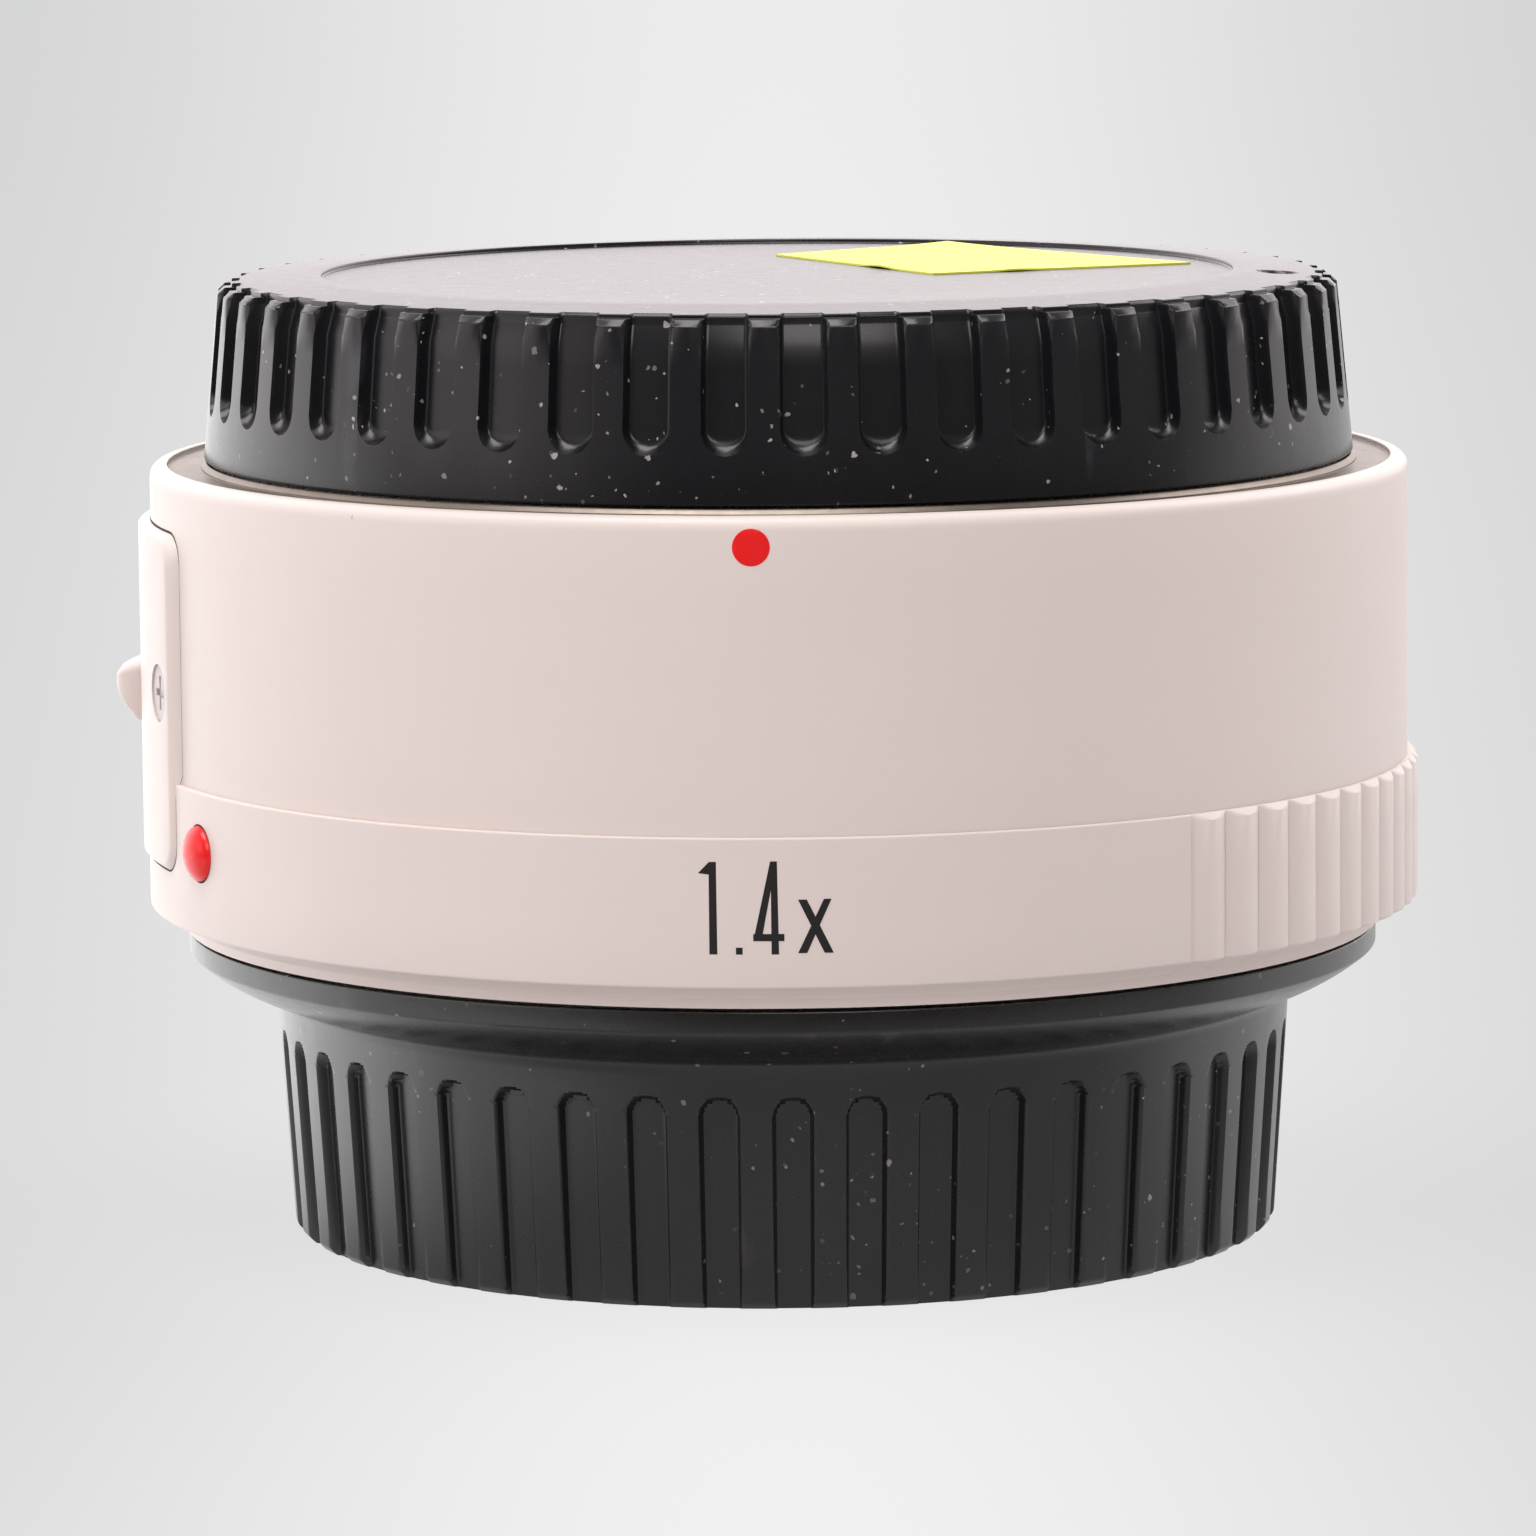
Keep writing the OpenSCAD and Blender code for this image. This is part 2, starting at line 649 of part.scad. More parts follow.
// A cross-head screw. Its head ends at z = 0, its shank points down.
module screw(kind, length) {
    slot_w = kind[2] * cross_w;
    slot_l = 2 * kind[0] * cross_reach;
    difference() {
        union() {
            bore(kind[0], -kind[1], 0);
            bore(kind[2], -kind[1] - length, -kind[1] / 2);
        }
        for (a = [0, 90]) rotate([0, 0, a])
            translate([-slot_l / 2, -slot_w / 2, -kind[1] / 2]) cube([slot_l, slot_w, kind[1]]);
    }
}

// The hole for such a screw, open above its head
module screw_hole(kind, length) {
    bore(kind[0] + screw_fit, -kind[1], cut);
    bore(kind[2] + screw_fit, -kind[1] - length - screw_room, 0);
}

// A coil spring of round wire, as a tube swept along a helix
module coil(radius, wire, z_low, z_top, turns, detail) {
    steps = detail[0];
    sides = detail[1];
    count = turns * steps;
    rise = z_top - z_low - wire;
    points = [for (i = [0:count], j = [0:sides - 1])
        let (a = 360 * i / steps, b = 360 * j / sides, r = radius + wire / 2 * cos(b))
        [r * cos(a), r * sin(a), z_low + wire / 2 + rise * i / count + wire / 2 * sin(b)]];
    skin = [for (i = [0:count - 1], j = [0:sides - 1]) let (k = (j + 1) % sides)
        [i * sides + j, i * sides + k, (i + 1) * sides + k, (i + 1) * sides + j]];
    ends = [[for (j = [sides - 1:-1:0]) j], [for (j = [0:sides - 1]) count * sides + j]];
    polyhedron(points, concat(skin, ends), convexity = 6);
}

// The body that bounds a lens on one side: bulging where curve is positive, hollow where it is negative.
// The curve starts at the edge of a flat shoulder on the rim.
module lens_side(curve, rim_z, rim_r, way) {
    clear_r = rim_r - lens_shoulder;
    reach = sqrt(curve * curve - clear_r * clear_r);
    z_slab = way > 0 ? rim_z - lens_slab : rim_z;
    if (curve > 0) union() {
        translate([0, 0, z_slab]) cylinder(r = rim_r + cut, h = lens_slab, $fn = lens_fn);
        intersection() {
            translate([0, 0, rim_z - way * reach]) sphere(r = curve, $fn = lens_fn);
            translate([0, 0, rim_z - lens_slab / 2]) cylinder(r = clear_r, h = lens_slab, $fn = lens_fn);
        }
    }
    else difference() {
        translate([0, 0, z_slab]) cylinder(r = rim_r + cut, h = lens_slab, $fn = lens_fn);
        translate([0, 0, rim_z + way * reach]) sphere(r = -curve, $fn = lens_fn);
    }
}

// A lens with its rim between two heights
module lens(rim_r, z_low, z_top, low_curve, top_curve) {
    intersection() {
        translate([0, 0, z_low - lens_slab / 2])
            cylinder(r = rim_r, h = z_top - z_low + lens_slab, $fn = lens_fn);
        lens_side(top_curve, z_top, rim_r, 1);
        lens_side(low_curve, z_low, rim_r, -1);
    }
}

// A plate with round corners, standing across the radius at angle 0
module radial_plate(half_w, z_low, z_top, corner, r_in, r_out) {
    x = half_w - corner;
    translate([r_in, 0, 0]) rotate([90, 0, 90]) linear_extrude(r_out - r_in) polygon(concat(
        arc([x, z_low + corner], corner, -90, 0), arc([x, z_top - corner], corner, 0, 90),
        arc([-x, z_top - corner], corner, 90, 180), arc([-x, z_low + corner], corner, 180, 270)));
}

// A box across the radius at angle 0, centred sideways
module radial_box(r_in, r_out, width, z_low, z_top) {
    translate([r_in, -width / 2, z_low]) cube([r_out - r_in, width, z_top - z_low]);
}

// Outer shells

module upper_barrel() color([0.88, 0.84, 0.82]) difference() {
    turned(concat(
        [[barrel_bore, z_seam], [barrel_r - edge_break, z_seam], [barrel_r, z_seam + edge_break]],
        arc([barrel_r - rim_round, z_barrel_top - rim_round], rim_round, 0, 90),
        [[barrel_r - rim_width, z_barrel_top], [barrel_r - rim_width, z_barrel_face],
         [mount_r + 2 * slip_fit, z_barrel_face], [mount_r + 2 * slip_fit, z_clamp],
         [rebate_r + 2 * slip_fit, z_clamp], [rebate_r + 2 * slip_fit, z_chassis_top],
         [barrel_bore, z_chassis_top]]));
    rotate([0, 0, catch_side]) radial_box(barrel_bore - cut, barrel_r + cut, arm_w + 2 * slide_fit,
        z_seam - cut, z_arm_top + slide_fit);
    outward(dot_angle, z_dot) bore(dot_dia / 2 + screw_fit, barrel_r - mark_seat, barrel_r + cut);
    for (a = cover_screw_angles) outward(a, z_cover_screw)
        bore(cover_screw[2] + screw_fit, barrel_bore - cut, barrel_r + cut);
}

// The ribs run from just above the chamfer to just below the seam
module grip_ribs() {
    z_rib = z_grip + lip_height + grip_chamfer + edge_break;
    for (i = [0:rib_count - 1]) rotate([0, 0, (i - (rib_count - 1) / 2) * rib_pitch])
        translate([grip_r + rib_proud - rib_radius, 0, z_rib])
            cylinder(r = rib_radius, h = z_seam - 2 * edge_break - z_rib);
}

module grip_ring() color([0.88, 0.84, 0.82]) difference() {
    union() {
        turned([[grip_bore, z_grip], [lip_r, z_grip], [lip_r, z_grip + lip_height],
            [grip_r, z_grip + lip_height + grip_chamfer], [grip_r, z_seam - edge_break],
            [grip_r - edge_break, z_seam], [register_r, z_seam],
            [register_r, z_seam + register_height], [grip_bore, z_seam + register_height],
            [grip_bore, z_plate_top + grip_ledge_t], [grip_bore - grip_ledge, z_plate_top + grip_ledge_t],
            [grip_bore - grip_ledge, z_plate_top], [grip_bore, z_plate_top]]);
        grip_ribs();
    }
    rotate([0, 0, catch_side]) radial_box(grip_bore - cut, register_r + slip_fit, arm_w + 2 * slide_fit,
        z_seam, z_seam + register_height + cut);
    outward(bead_angle, z_bead) bore(bead_dia / 2 + screw_fit, grip_r - mark_seat, grip_r + cut);
}

module lever_cover() color([0.90, 0.86, 0.84]) rotate([0, 0, catch_side]) difference() {
    intersection() {
        turned([[grip_r + screw_fit, z_cover - cut], [cover_r, z_cover - cut],
            [cover_r, z_cover_top + cut], [barrel_r + screw_fit, z_cover_top + cut],
            [barrel_r + screw_fit, z_seam + screw_fit], [grip_r + screw_fit, z_seam + screw_fit]]);
        radial_plate(cover_r * sin(cover_span / 2), z_cover, z_cover_top, cover_corner, barrel_bore,
            cover_r + cut);
    }
    radial_box(barrel_bore, cover_r + cut, stem_w + 2 * slide_fit, z_arm - release_travel - slide_fit,
        z_arm_top + slide_fit);
    for (a = [-cover_screw_angle, cover_screw_angle]) outward(a, z_cover_screw) {
        bore(cover_screw[0] + screw_fit, cover_r - cover_recess - cover_screw[1], cover_r + cut);
        bore(cover_screw[2] + screw_fit, barrel_bore, cover_r);
    }
}

module cover_screws() color([0.75, 0.73, 0.72]) for (a = cover_screw_angles) outward(a, z_cover_screw)
    translate([0, 0, cover_r - cover_recess]) screw(cover_screw, cover_screw_length);

module front_index_dot() color([0.92, 0.16, 0.16]) outward(dot_angle, z_dot)
    bore(dot_dia / 2, barrel_r - mark_seat, barrel_r);

module rear_index_bead() color([0.92, 0.16, 0.16]) outward(bead_angle, z_bead) {
    dome_r = (bead_dia * bead_dia / 4 + bead_dome * bead_dome) / (2 * bead_dome);
    intersection() {
        bore(bead_dia / 2, grip_r - mark_seat, grip_r + bead_dome + cut);
        translate([0, 0, grip_r + bead_dome - dome_r]) sphere(r = dome_r);
    }
}

// Lens-side mount

module front_mount_ring() color([0.80, 0.80, 0.82]) difference() {
    union() {
        turned([[throat_r, z_mount_low], [rebate_r, z_mount_low], [rebate_r, z_clamp], [mount_r, z_clamp],
            [mount_r, z_front - mount_break], [mount_r - mount_break, z_front], [throat_r, z_front]]);
        for (a = lug_angles)
            sector(front_lug_r, throat_r + lug_root, z_front - front_lug_t, z_front, a, front_lug_span);
    }
    around(mount_screw_angles, pin_circle, z_front) screw_hole(mount_screw, front_screw_length);
    around([catch_side], pin_circle) bore(lock_bore, z_mount_low - cut, z_front + cut);
}

module front_mount_screws() color([0.70, 0.70, 0.72])
    around(mount_screw_angles, pin_circle, z_front) screw(mount_screw, front_screw_length);

module front_shim() color([0.72, 0.66, 0.45]) difference() {
    tube(cup_bore, rebate_r, z_chassis_top, z_mount_low);
    around(mount_screw_angles, pin_circle)
        bore(mount_screw[2] + slip_fit, z_chassis_top - cut, z_mount_low + cut);
    around([catch_side], pin_circle) bore(lock_bore, z_chassis_top - cut, z_mount_low + cut);
}

module bayonet_springs() color([0.62, 0.62, 0.64]) {
    z_lug = z_front - front_lug_t;
    r_in = front_lug_r + slide_fit;
    r_out = throat_r - slip_fit;
    for (a = lug_angles) difference() {
        sector(r_in, r_out, z_lug - leaf_rise - leaf_t, z_lug, a, leaf_span);
        sector(r_in - cut, r_out + cut, z_lug - leaf_rise, z_lug + cut, a, leaf_span - 2 * leaf_foot);
    }
}

// Chassis

module chassis() color([0.16, 0.16, 0.17]) difference() {
    union() {
        turned([[tube_bore, z_plate_low], [rear_plate_r, z_plate_low], [rear_plate_r, z_plate_top],
            [tube_r, z_plate_top], [tube_r, z_floor_low], [cup_r, z_floor_low], [cup_r, z_front_plate],
            [front_plate_r, z_front_plate], [front_plate_r, z_chassis_top], [cup_bore, z_chassis_top],
            [cup_bore, z_floor], [tube_bore, z_floor], [tube_bore, z_seat_top], [rib_inner_r, z_seat_top],
            [rib_inner_r, z_seat_low], [tube_bore, z_seat_low]]);
        around([catch_side], pin_circle) bore(lock_pin_r + boss_wall, z_plate_top - cut, z_boss);
        around(board_post_angles, board_post_circle) bore(board_post_r, z_plate_top - cut, z_board);
    }
    around([catch_side], pin_circle) {
        bore(lock_bore, z_plate_low - cut, z_boss + cut);
        bore(lock_bore, z_front_plate - cut, z_chassis_top + cut);
    }
    around(mount_screw_angles, pin_circle, z_front) screw_hole(mount_screw, front_screw_length);
    around(mount_screw_angles, rear_screw_circle, z_rear) mirror([0, 0, 1])
        screw_hole(mount_screw, rear_screw_length);
    around(block_screw_angles, block_screw_circle, z_block_top) screw_hole(small_screw, block_screw_length);
    around(block_screw_angles, pad_circle, z_rear_block) mirror([0, 0, 1])
        screw_hole(tiny_screw, rear_block_screw_length);
    around(board_post_angles, board_post_circle, z_board_top + small_head_h)
        screw_hole(small_screw, board_screw_length);
    rotate([0, 0, contact_side]) {
        radial_box(front_flex_r - slip_fit, front_flex_r + flex_t + slip_fit, flex_w + 2 * slip_fit,
            z_floor_low - cut, z_floor + cut);
        radial_box(rear_flex_r - slip_fit, rear_flex_r + flex_t + slip_fit, flex_w + 2 * slip_fit,
            z_plate_low - cut, z_plate_top + cut);
    }
}

// Optics

module front_cell() color([0.13, 0.13, 0.14]) turned([
    [doublet_r + screw_fit, z_seat_top], [cell_r, z_seat_top], [cell_r, z_nose - nose_chamfer],
    [cell_r - nose_chamfer, z_nose], [front_lens_r + 2 * screw_fit, z_nose],
    [front_lens_r + 2 * screw_fit, z_front_lens], [front_lens_r - lens_ledge, z_front_lens],
    [doublet_r - lens_ledge, z_front_lens - ledge_t], [doublet_r - lens_ledge, z_crown_top],
    [doublet_r + screw_fit, z_crown_top]]);

module front_lens() color([0.70, 0.82, 0.86])
    lens(front_lens_r, z_front_lens, z_front_lens_top, -front_lens_back, front_lens_curve);

module front_retaining_ring() color([0.15, 0.15, 0.16])
    tube(front_lens_r - retainer_wall, front_lens_r + screw_fit, z_front_lens_top,
        z_front_lens_top + retainer_t);

module doublet_crown() color([0.72, 0.84, 0.86])
    lens(doublet_r, z_crown, z_crown_top, cement_curve, crown_curve);

module doublet_flint() color([0.66, 0.78, 0.82])
    lens(doublet_r, z_flint, z_crown - cement, -flint_curve, -cement_curve);

module doublet_retainer() color([0.15, 0.15, 0.16])
    tube(doublet_r - retainer_wall, doublet_r, z_flint - retainer_t, z_flint);

module field_stop() color([0.08, 0.08, 0.08])
    tube(stop_r - stop_w, stop_r, z_seat_low, z_seat_low + stop_t);

module rear_cell() color([0.13, 0.13, 0.14]) difference() {
    turned([[rear_lens_r + screw_fit, z_rear_cell], [cell_r, z_rear_cell], [cell_r, z_seat_low],
        [rear_lens_r - lens_ledge, z_seat_low], [rear_lens_r - lens_ledge, z_negative_top],
        [rear_lens_r + screw_fit, z_negative_top]]);
    around(baffle_screw_angles, baffle_screw_circle, z_baffle) mirror([0, 0, 1])
        screw_hole(small_screw, thread_depth);
}

module negative_lens() color([0.70, 0.82, 0.86])
    lens(rear_lens_r, z_negative, z_negative_top, -negative_back, -negative_curve);

module element_spacer() color([0.15, 0.15, 0.16])
    tube(rear_lens_r - retainer_wall, rear_lens_r, z_negative - spacer_t, z_negative);

module rear_lens() color([0.70, 0.82, 0.86])
    lens(rear_lens_r, z_rear_lens, z_rear_lens_top, rear_lens_back, rear_lens_curve);

module rear_retaining_ring() color([0.15, 0.15, 0.16])
    tube(rear_lens_r - retainer_wall, rear_lens_r, z_rear_lens - retainer_t, z_rear_lens);

module rear_baffle() color([0.10, 0.10, 0.10]) difference() {
    translate([0, 0, z_baffle]) cylinder(r = baffle_r, h = baffle_t);
    translate([window_end - rear_lens_r, window_side - rear_lens_r, z_baffle - cut])
        cube([2 * (rear_lens_r - window_end), 2 * (rear_lens_r - window_side), baffle_t + 2 * cut]);
    sector(rear_block_in - slip_fit, baffle_r + cut, z_baffle - cut, z_rear_cell + cut, contact_side,
        block_span + block_room);
    around(baffle_screw_angles, baffle_screw_circle, z_baffle) mirror([0, 0, 1])
        screw_hole(small_screw, thread_depth);
}

module baffle_screws() color([0.20, 0.20, 0.21]) around(baffle_screw_angles, baffle_screw_circle, z_baffle)
    mirror([0, 0, 1]) screw(small_screw, thread_depth);

// Camera-side mount

module rear_mount_ring() color([0.80, 0.80, 0.82]) difference() {
    union() {
        turned([[spigot_bore, z_spigot], [spigot_r - edge_break, z_spigot], [spigot_r, z_spigot + edge_break],
            [spigot_r, z_rear], [mount_r - mount_break, z_rear], [mount_r, z_rear + mount_break],
            [mount_r, z_rear + rear_mount_t], [spigot_bore, z_rear + rear_mount_t]]);
        for (a = lug_angles)
            sector(spigot_r - lug_root, rear_lug_r, z_rear_lug - rear_lug_t, z_rear_lug, a, rear_lug_span);
    }
    around(mount_screw_angles, rear_screw_circle, z_rear) mirror([0, 0, 1])
        screw_hole(mount_screw, rear_screw_length);
}

module rear_mount_screws() color([0.70, 0.70, 0.72]) around(mount_screw_angles, rear_screw_circle, z_rear)
    mirror([0, 0, 1]) screw(mount_screw, rear_screw_length);

module rear_shim() color([0.72, 0.66, 0.45]) difference() {
    tube(spigot_r, mount_r, z_rear + rear_mount_t, z_plate_low);
    around(mount_screw_angles, rear_screw_circle)
        bore(mount_screw[2] + slip_fit, z_rear + rear_mount_t - cut, z_plate_low + cut);
}

// Electronics

module front_contact_block() color([0.12, 0.12, 0.12]) difference() {
    sector(front_block_in, front_block_out, z_floor, z_block_top, contact_side, block_span);
    around(contact_angles, contact_circle) {
        bore(contact_r + slip_fit, z_floor, z_block_top + cut);
        bore(pin_well_r, z_floor - cut, z_block_top - block_roof);
    }
    around(block_screw_angles, block_screw_circle, z_block_top) screw_hole(small_screw, block_screw_length);
}

module front_block_screws() color([0.70, 0.70, 0.72])
    around(block_screw_angles, block_screw_circle, z_block_top) screw(small_screw, block_screw_length);

module contact_pins() color([0.85, 0.68, 0.30]) around(contact_angles, contact_circle) {
    bore(contact_r, z_collar, z_pin_top - contact_r);
    translate([0, 0, z_pin_top - contact_r]) sphere(r = contact_r);
    bore(collar_r, z_collar, z_collar + collar_t);
}

module contact_springs() color([0.75, 0.75, 0.77]) around(contact_angles, contact_circle)
    coil(contact_r, contact_wire, z_floor, z_collar, contact_turns, contact_coil);

module rear_contact_block() color([0.12, 0.12, 0.12]) difference() {
    sector(rear_block_in, rear_block_out, z_rear_block, z_plate_low, contact_side, block_span);
    around(block_screw_angles, pad_circle, z_rear_block) mirror([0, 0, 1])
        screw_hole(tiny_screw, rear_block_screw_length);
}

module rear_contact_pads() color([0.85, 0.68, 0.30])
    around(contact_angles, pad_circle) bore(pad_dia / 2, z_rear_block - pad_t, z_rear_block);

module rear_block_screws() color([0.70, 0.70, 0.72]) around(block_screw_angles, pad_circle, z_rear_block)
    mirror([0, 0, 1]) screw(tiny_screw, rear_block_screw_length);

module circuit_board() color([0.10, 0.36, 0.22]) difference() {
    sector(board_in, board_out, z_board, z_board_top, 0, board_span);
    around(board_post_angles, board_post_circle)
        bore(small_screw[2] + screw_fit, z_board - cut, z_board_top + cut);
}

module board_screws() color([0.70, 0.70, 0.72])
    around(board_post_angles, board_post_circle, z_board_top + small_head_h)
        screw(small_screw, board_screw_length);

module processor_chip() color([0.09, 0.09, 0.10]) rotate([0, 0, chip_angle])
    radial_box(board_post_circle - chip_w / 2, board_post_circle + chip_w / 2, chip_w, z_board_top,
        z_board_top + chip_h);

module board_capacitors() color([0.62, 0.50, 0.36]) for (a = capacitor_angles) rotate([0, 0, a])
    radial_box(board_post_circle - capacitor_l / 2, board_post_circle + capacitor_l / 2, capacitor_w,
        z_board_top, z_board_top + capacitor_w);

module front_flex() color([0.72, 0.42, 0.12]) rotate([0, 0, contact_side]) {
    radial_box(front_flex_r, front_flex_r + flex_t, flex_w, z_board_top, z_floor);
    radial_box(front_flex_r, front_flex_r + flex_foot, flex_w, z_board_top, z_board_top + flex_t);
}

module rear_flex() color([0.72, 0.42, 0.12]) rotate([0, 0, contact_side]) {
    radial_box(rear_flex_r, rear_flex_r + flex_t, flex_w, z_plate_low, z_board);
    radial_box(rear_flex_r, rear_flex_r + flex_foot, flex_w, z_board - flex_t, z_board);
}

// Release catch

module lock_pin() color([0.78, 0.78, 0.80]) around([catch_side], pin_circle) {
    z_tip = z_front + lock_pin_out - pin_tip;
    bore(lock_pin_r, z_plate_low + release_travel + slide_fit, z_tip);
    translate([0, 0, z_tip]) cylinder(r1 = lock_pin_r, r2 = lock_pin_r - pin_tip, h = pin_tip);
}

module release_slider() color([0.25, 0.25, 0.26]) rotate([0, 0, catch_side]) difference() {
    union() {
        radial_box(pin_circle - arm_w / 2, barrel_bore + cut, arm_w, z_arm, z_arm_top);
        radial_box(barrel_bore, knob_foot, stem_w, z_arm, z_arm_top);
    }
    translate([pin_circle, 0, 0]) bore(lock_pin_r + screw_fit, z_arm - cut, z_arm_top + cut);
}

module release_knob() color([0.88, 0.84, 0.82]) rotate([0, 0, catch_side]) {
    z_mid = (z_arm + z_arm_top) / 2;
    translate([0, knob_w / 2, 0]) rotate([90, 0, 0]) linear_extrude(knob_w) polygon([
        [knob_foot, z_mid - knob_h / 2], [knob_foot + knob_out * knob_root, z_mid - knob_h / 2],
        [knob_foot + knob_out, z_mid + knob_h * knob_nose[0]],
        [knob_foot + knob_out, z_mid + knob_h * knob_nose[1]],
        [knob_foot + knob_out * knob_root, z_mid + knob_h / 2], [knob_foot, z_mid + knob_h / 2]]);
}

module release_spring() color([0.75, 0.75, 0.77]) around([catch_side], pin_circle)
    coil(lock_pin_r + spring_wire / 2 + slip_fit, spring_wire, z_boss, z_arm, spring_turns, release_coil);

// Caps

module front_flute_cutters() {
    lean = atan(front_cap_taper / (z_cap_edge - front_cap_bevel - z_cap_foot));
    rise = front_band + front_flute_d;
    for (i = [0:front_flutes - 1]) rotate([0, 0, front_flute_start + i * 360 / front_flutes])
        translate([front_cap_r - front_flute_d, 0, z_cap_foot]) rotate([0, -lean, 0]) {
            translate([0, -front_flute_w / 2, rise])
                cube([2 * front_flute_d, front_flute_w, z_cap_top - z_cap_foot - rise + cut]);
            translate([front_flute_d, front_flute_w / 2, rise]) rotate([90, 0, 0])
                cylinder(r = front_flute_d, h = front_flute_w);
        }
}

module front_cap() color([0.12, 0.12, 0.13]) difference() {
    union() {
        turned([[0, z_cap_ceiling], [cap_spigot_r - cap_spigot_wall, z_cap_ceiling],
            [cap_spigot_r - cap_spigot_wall, z_cap_spigot], [cap_spigot_r, z_cap_spigot],
            [cap_spigot_r, z_cap_ceiling], [skirt_bore_up, z_cap_ceiling], [skirt_bore_up, z_pin_room],
            [skirt_bore, z_pin_room], [skirt_bore, z_cap_foot], [front_cap_r, z_cap_foot],
            [cap_top_r, z_cap_edge - front_cap_bevel], [cap_top_r - front_cap_bevel, z_cap_edge],
            [disc_r + cap_rim_flat, z_cap_top], [disc_r, z_cap_top], [disc_r, z_disc], [0, z_disc]]);
        for (a = gap_angles)
            sector(cap_spigot_r - lug_root, cap_lug_r, z_cap_lug, z_cap_lug + cap_lug_t, a, cap_lug_span);
    }
    front_flute_cutters();
    around([dimple_angle], dimple_circle) bore(dimple_dia / 2, z_cap_top - dimple_depth, z_cap_top + cut);
}

module cap_label() color([0.94, 0.97, 0.35]) rotate([0, 0, label_place]) translate([label_centre, 0, z_disc])
    rotate([0, 0, label_angle - label_place]) translate([-label_l / 2, -label_w / 2, 0])
        cube([label_l, label_w, label_t]);

module rear_flute_cutters() {
    lean = atan(rear_cap_taper / fluted_height);
    z_end = fluted_height - flute_stop - rear_flute_w / 2;
    for (i = [0:rear_flutes - 1]) rotate([0, 0, rear_flute_start + i * 360 / rear_flutes])
        translate([rear_cap_r - rear_flute_d, 0, 0]) rotate([0, lean, 0]) {
            translate([0, -rear_flute_w / 2, -cut]) cube([2 * rear_flute_d, rear_flute_w, z_end + cut]);
            translate([0, 0, z_end]) rotate([0, 90, 0]) cylinder(r = rear_flute_w / 2, h = 2 * rear_flute_d);
        }
}

module rear_cap() color([0.20, 0.19, 0.19]) difference() {
    union() {
        turned(concat([[0, 0], [rear_cap_r - cap_edge, 0], [rear_cap_r, cap_edge]],
            bow([rear_cap_wall_r, fluted_height], [rear_cap_flange_r, z_rear_cap_edge], flange_bulge),
            [[rear_cap_flange_r, z_rear_cap_lip], [rear_cap_lip_in, z_rear_cap_lip],
             [rear_cap_lip_in, z_rear_cap_face], [rear_cap_bore, z_rear_cap_face],
             [rear_cap_bore, rear_cap_floor], [0, rear_cap_floor]]));
        for (a = gap_angles) sector(spigot_r + slide_fit, rear_cap_bore + lug_root, z_rear_cap_lug,
            z_rear_cap_lug + rear_cap_lug_t, a, cap_lug_span);
    }
    rear_flute_cutters();
}

upper_barrel();
grip_ring();
lever_cover();
cover_screws();
front_index_dot();
rear_index_bead();
front_mount_ring();
front_mount_screws();
front_shim();
bayonet_springs();
chassis();
front_cell();
front_retaining_ring();
front_lens();
doublet_crown();
doublet_flint();
doublet_retainer();
rear_cell();
negative_lens();
element_spacer();
rear_lens();
rear_retaining_ring();
field_stop();
rear_mount_ring();
rear_mount_screws();
rear_shim();
rear_contact_block();
rear_contact_pads();
rear_block_screws();
rear_baffle();
baffle_screws();
front_contact_block();
front_block_screws();
contact_pins();
contact_springs();
circuit_board();
board_screws();
processor_chip();
board_capacitors();
front_flex();
rear_flex();
release_knob();
release_slider();
lock_pin();
release_spring();
front_cap();
cap_label();
rear_cap();
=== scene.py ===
"""Studio view of a camera teleconverter that wears its front and rear caps.

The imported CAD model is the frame. The shells, the caps, the marks and the springs are drawn here as numpy
surfaces, in millimetres about the optical axis, and take the places of their CAD nodes. Every other CAD node
keeps its solid and gets its finish here.
"""
import json
import math

import bmesh
import bpy
import numpy as np
from mathutils import Matrix, Vector


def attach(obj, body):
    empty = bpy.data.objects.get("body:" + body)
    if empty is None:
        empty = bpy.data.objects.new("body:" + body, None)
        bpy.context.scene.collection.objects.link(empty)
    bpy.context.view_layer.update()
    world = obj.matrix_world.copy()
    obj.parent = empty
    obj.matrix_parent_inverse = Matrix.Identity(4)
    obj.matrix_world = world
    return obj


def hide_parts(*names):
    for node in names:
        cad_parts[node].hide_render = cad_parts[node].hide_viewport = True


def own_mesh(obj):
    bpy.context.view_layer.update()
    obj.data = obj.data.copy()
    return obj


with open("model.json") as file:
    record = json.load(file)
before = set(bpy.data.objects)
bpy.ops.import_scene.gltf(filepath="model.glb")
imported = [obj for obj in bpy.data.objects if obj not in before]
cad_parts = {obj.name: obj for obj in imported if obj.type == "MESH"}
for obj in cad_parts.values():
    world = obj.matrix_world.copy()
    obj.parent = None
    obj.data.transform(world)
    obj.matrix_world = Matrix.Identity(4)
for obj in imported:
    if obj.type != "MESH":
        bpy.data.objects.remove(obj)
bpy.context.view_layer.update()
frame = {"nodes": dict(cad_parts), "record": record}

MM = 0.001
TURN = 2 * np.pi

# Angles about the optical axis, in degrees. The photographed front is at -90.
FRONT_SIDE = -90.0
CATCH_SIDE = 180.0
DOT_ANGLE = FRONT_SIDE - 2.4
BEAD_ANGLE = FRONT_SIDE - 63.0
CAP_LUG_ANGLES = (0.0, 120.0, 240.0)
CAP_LUG_SPAN = 50.0

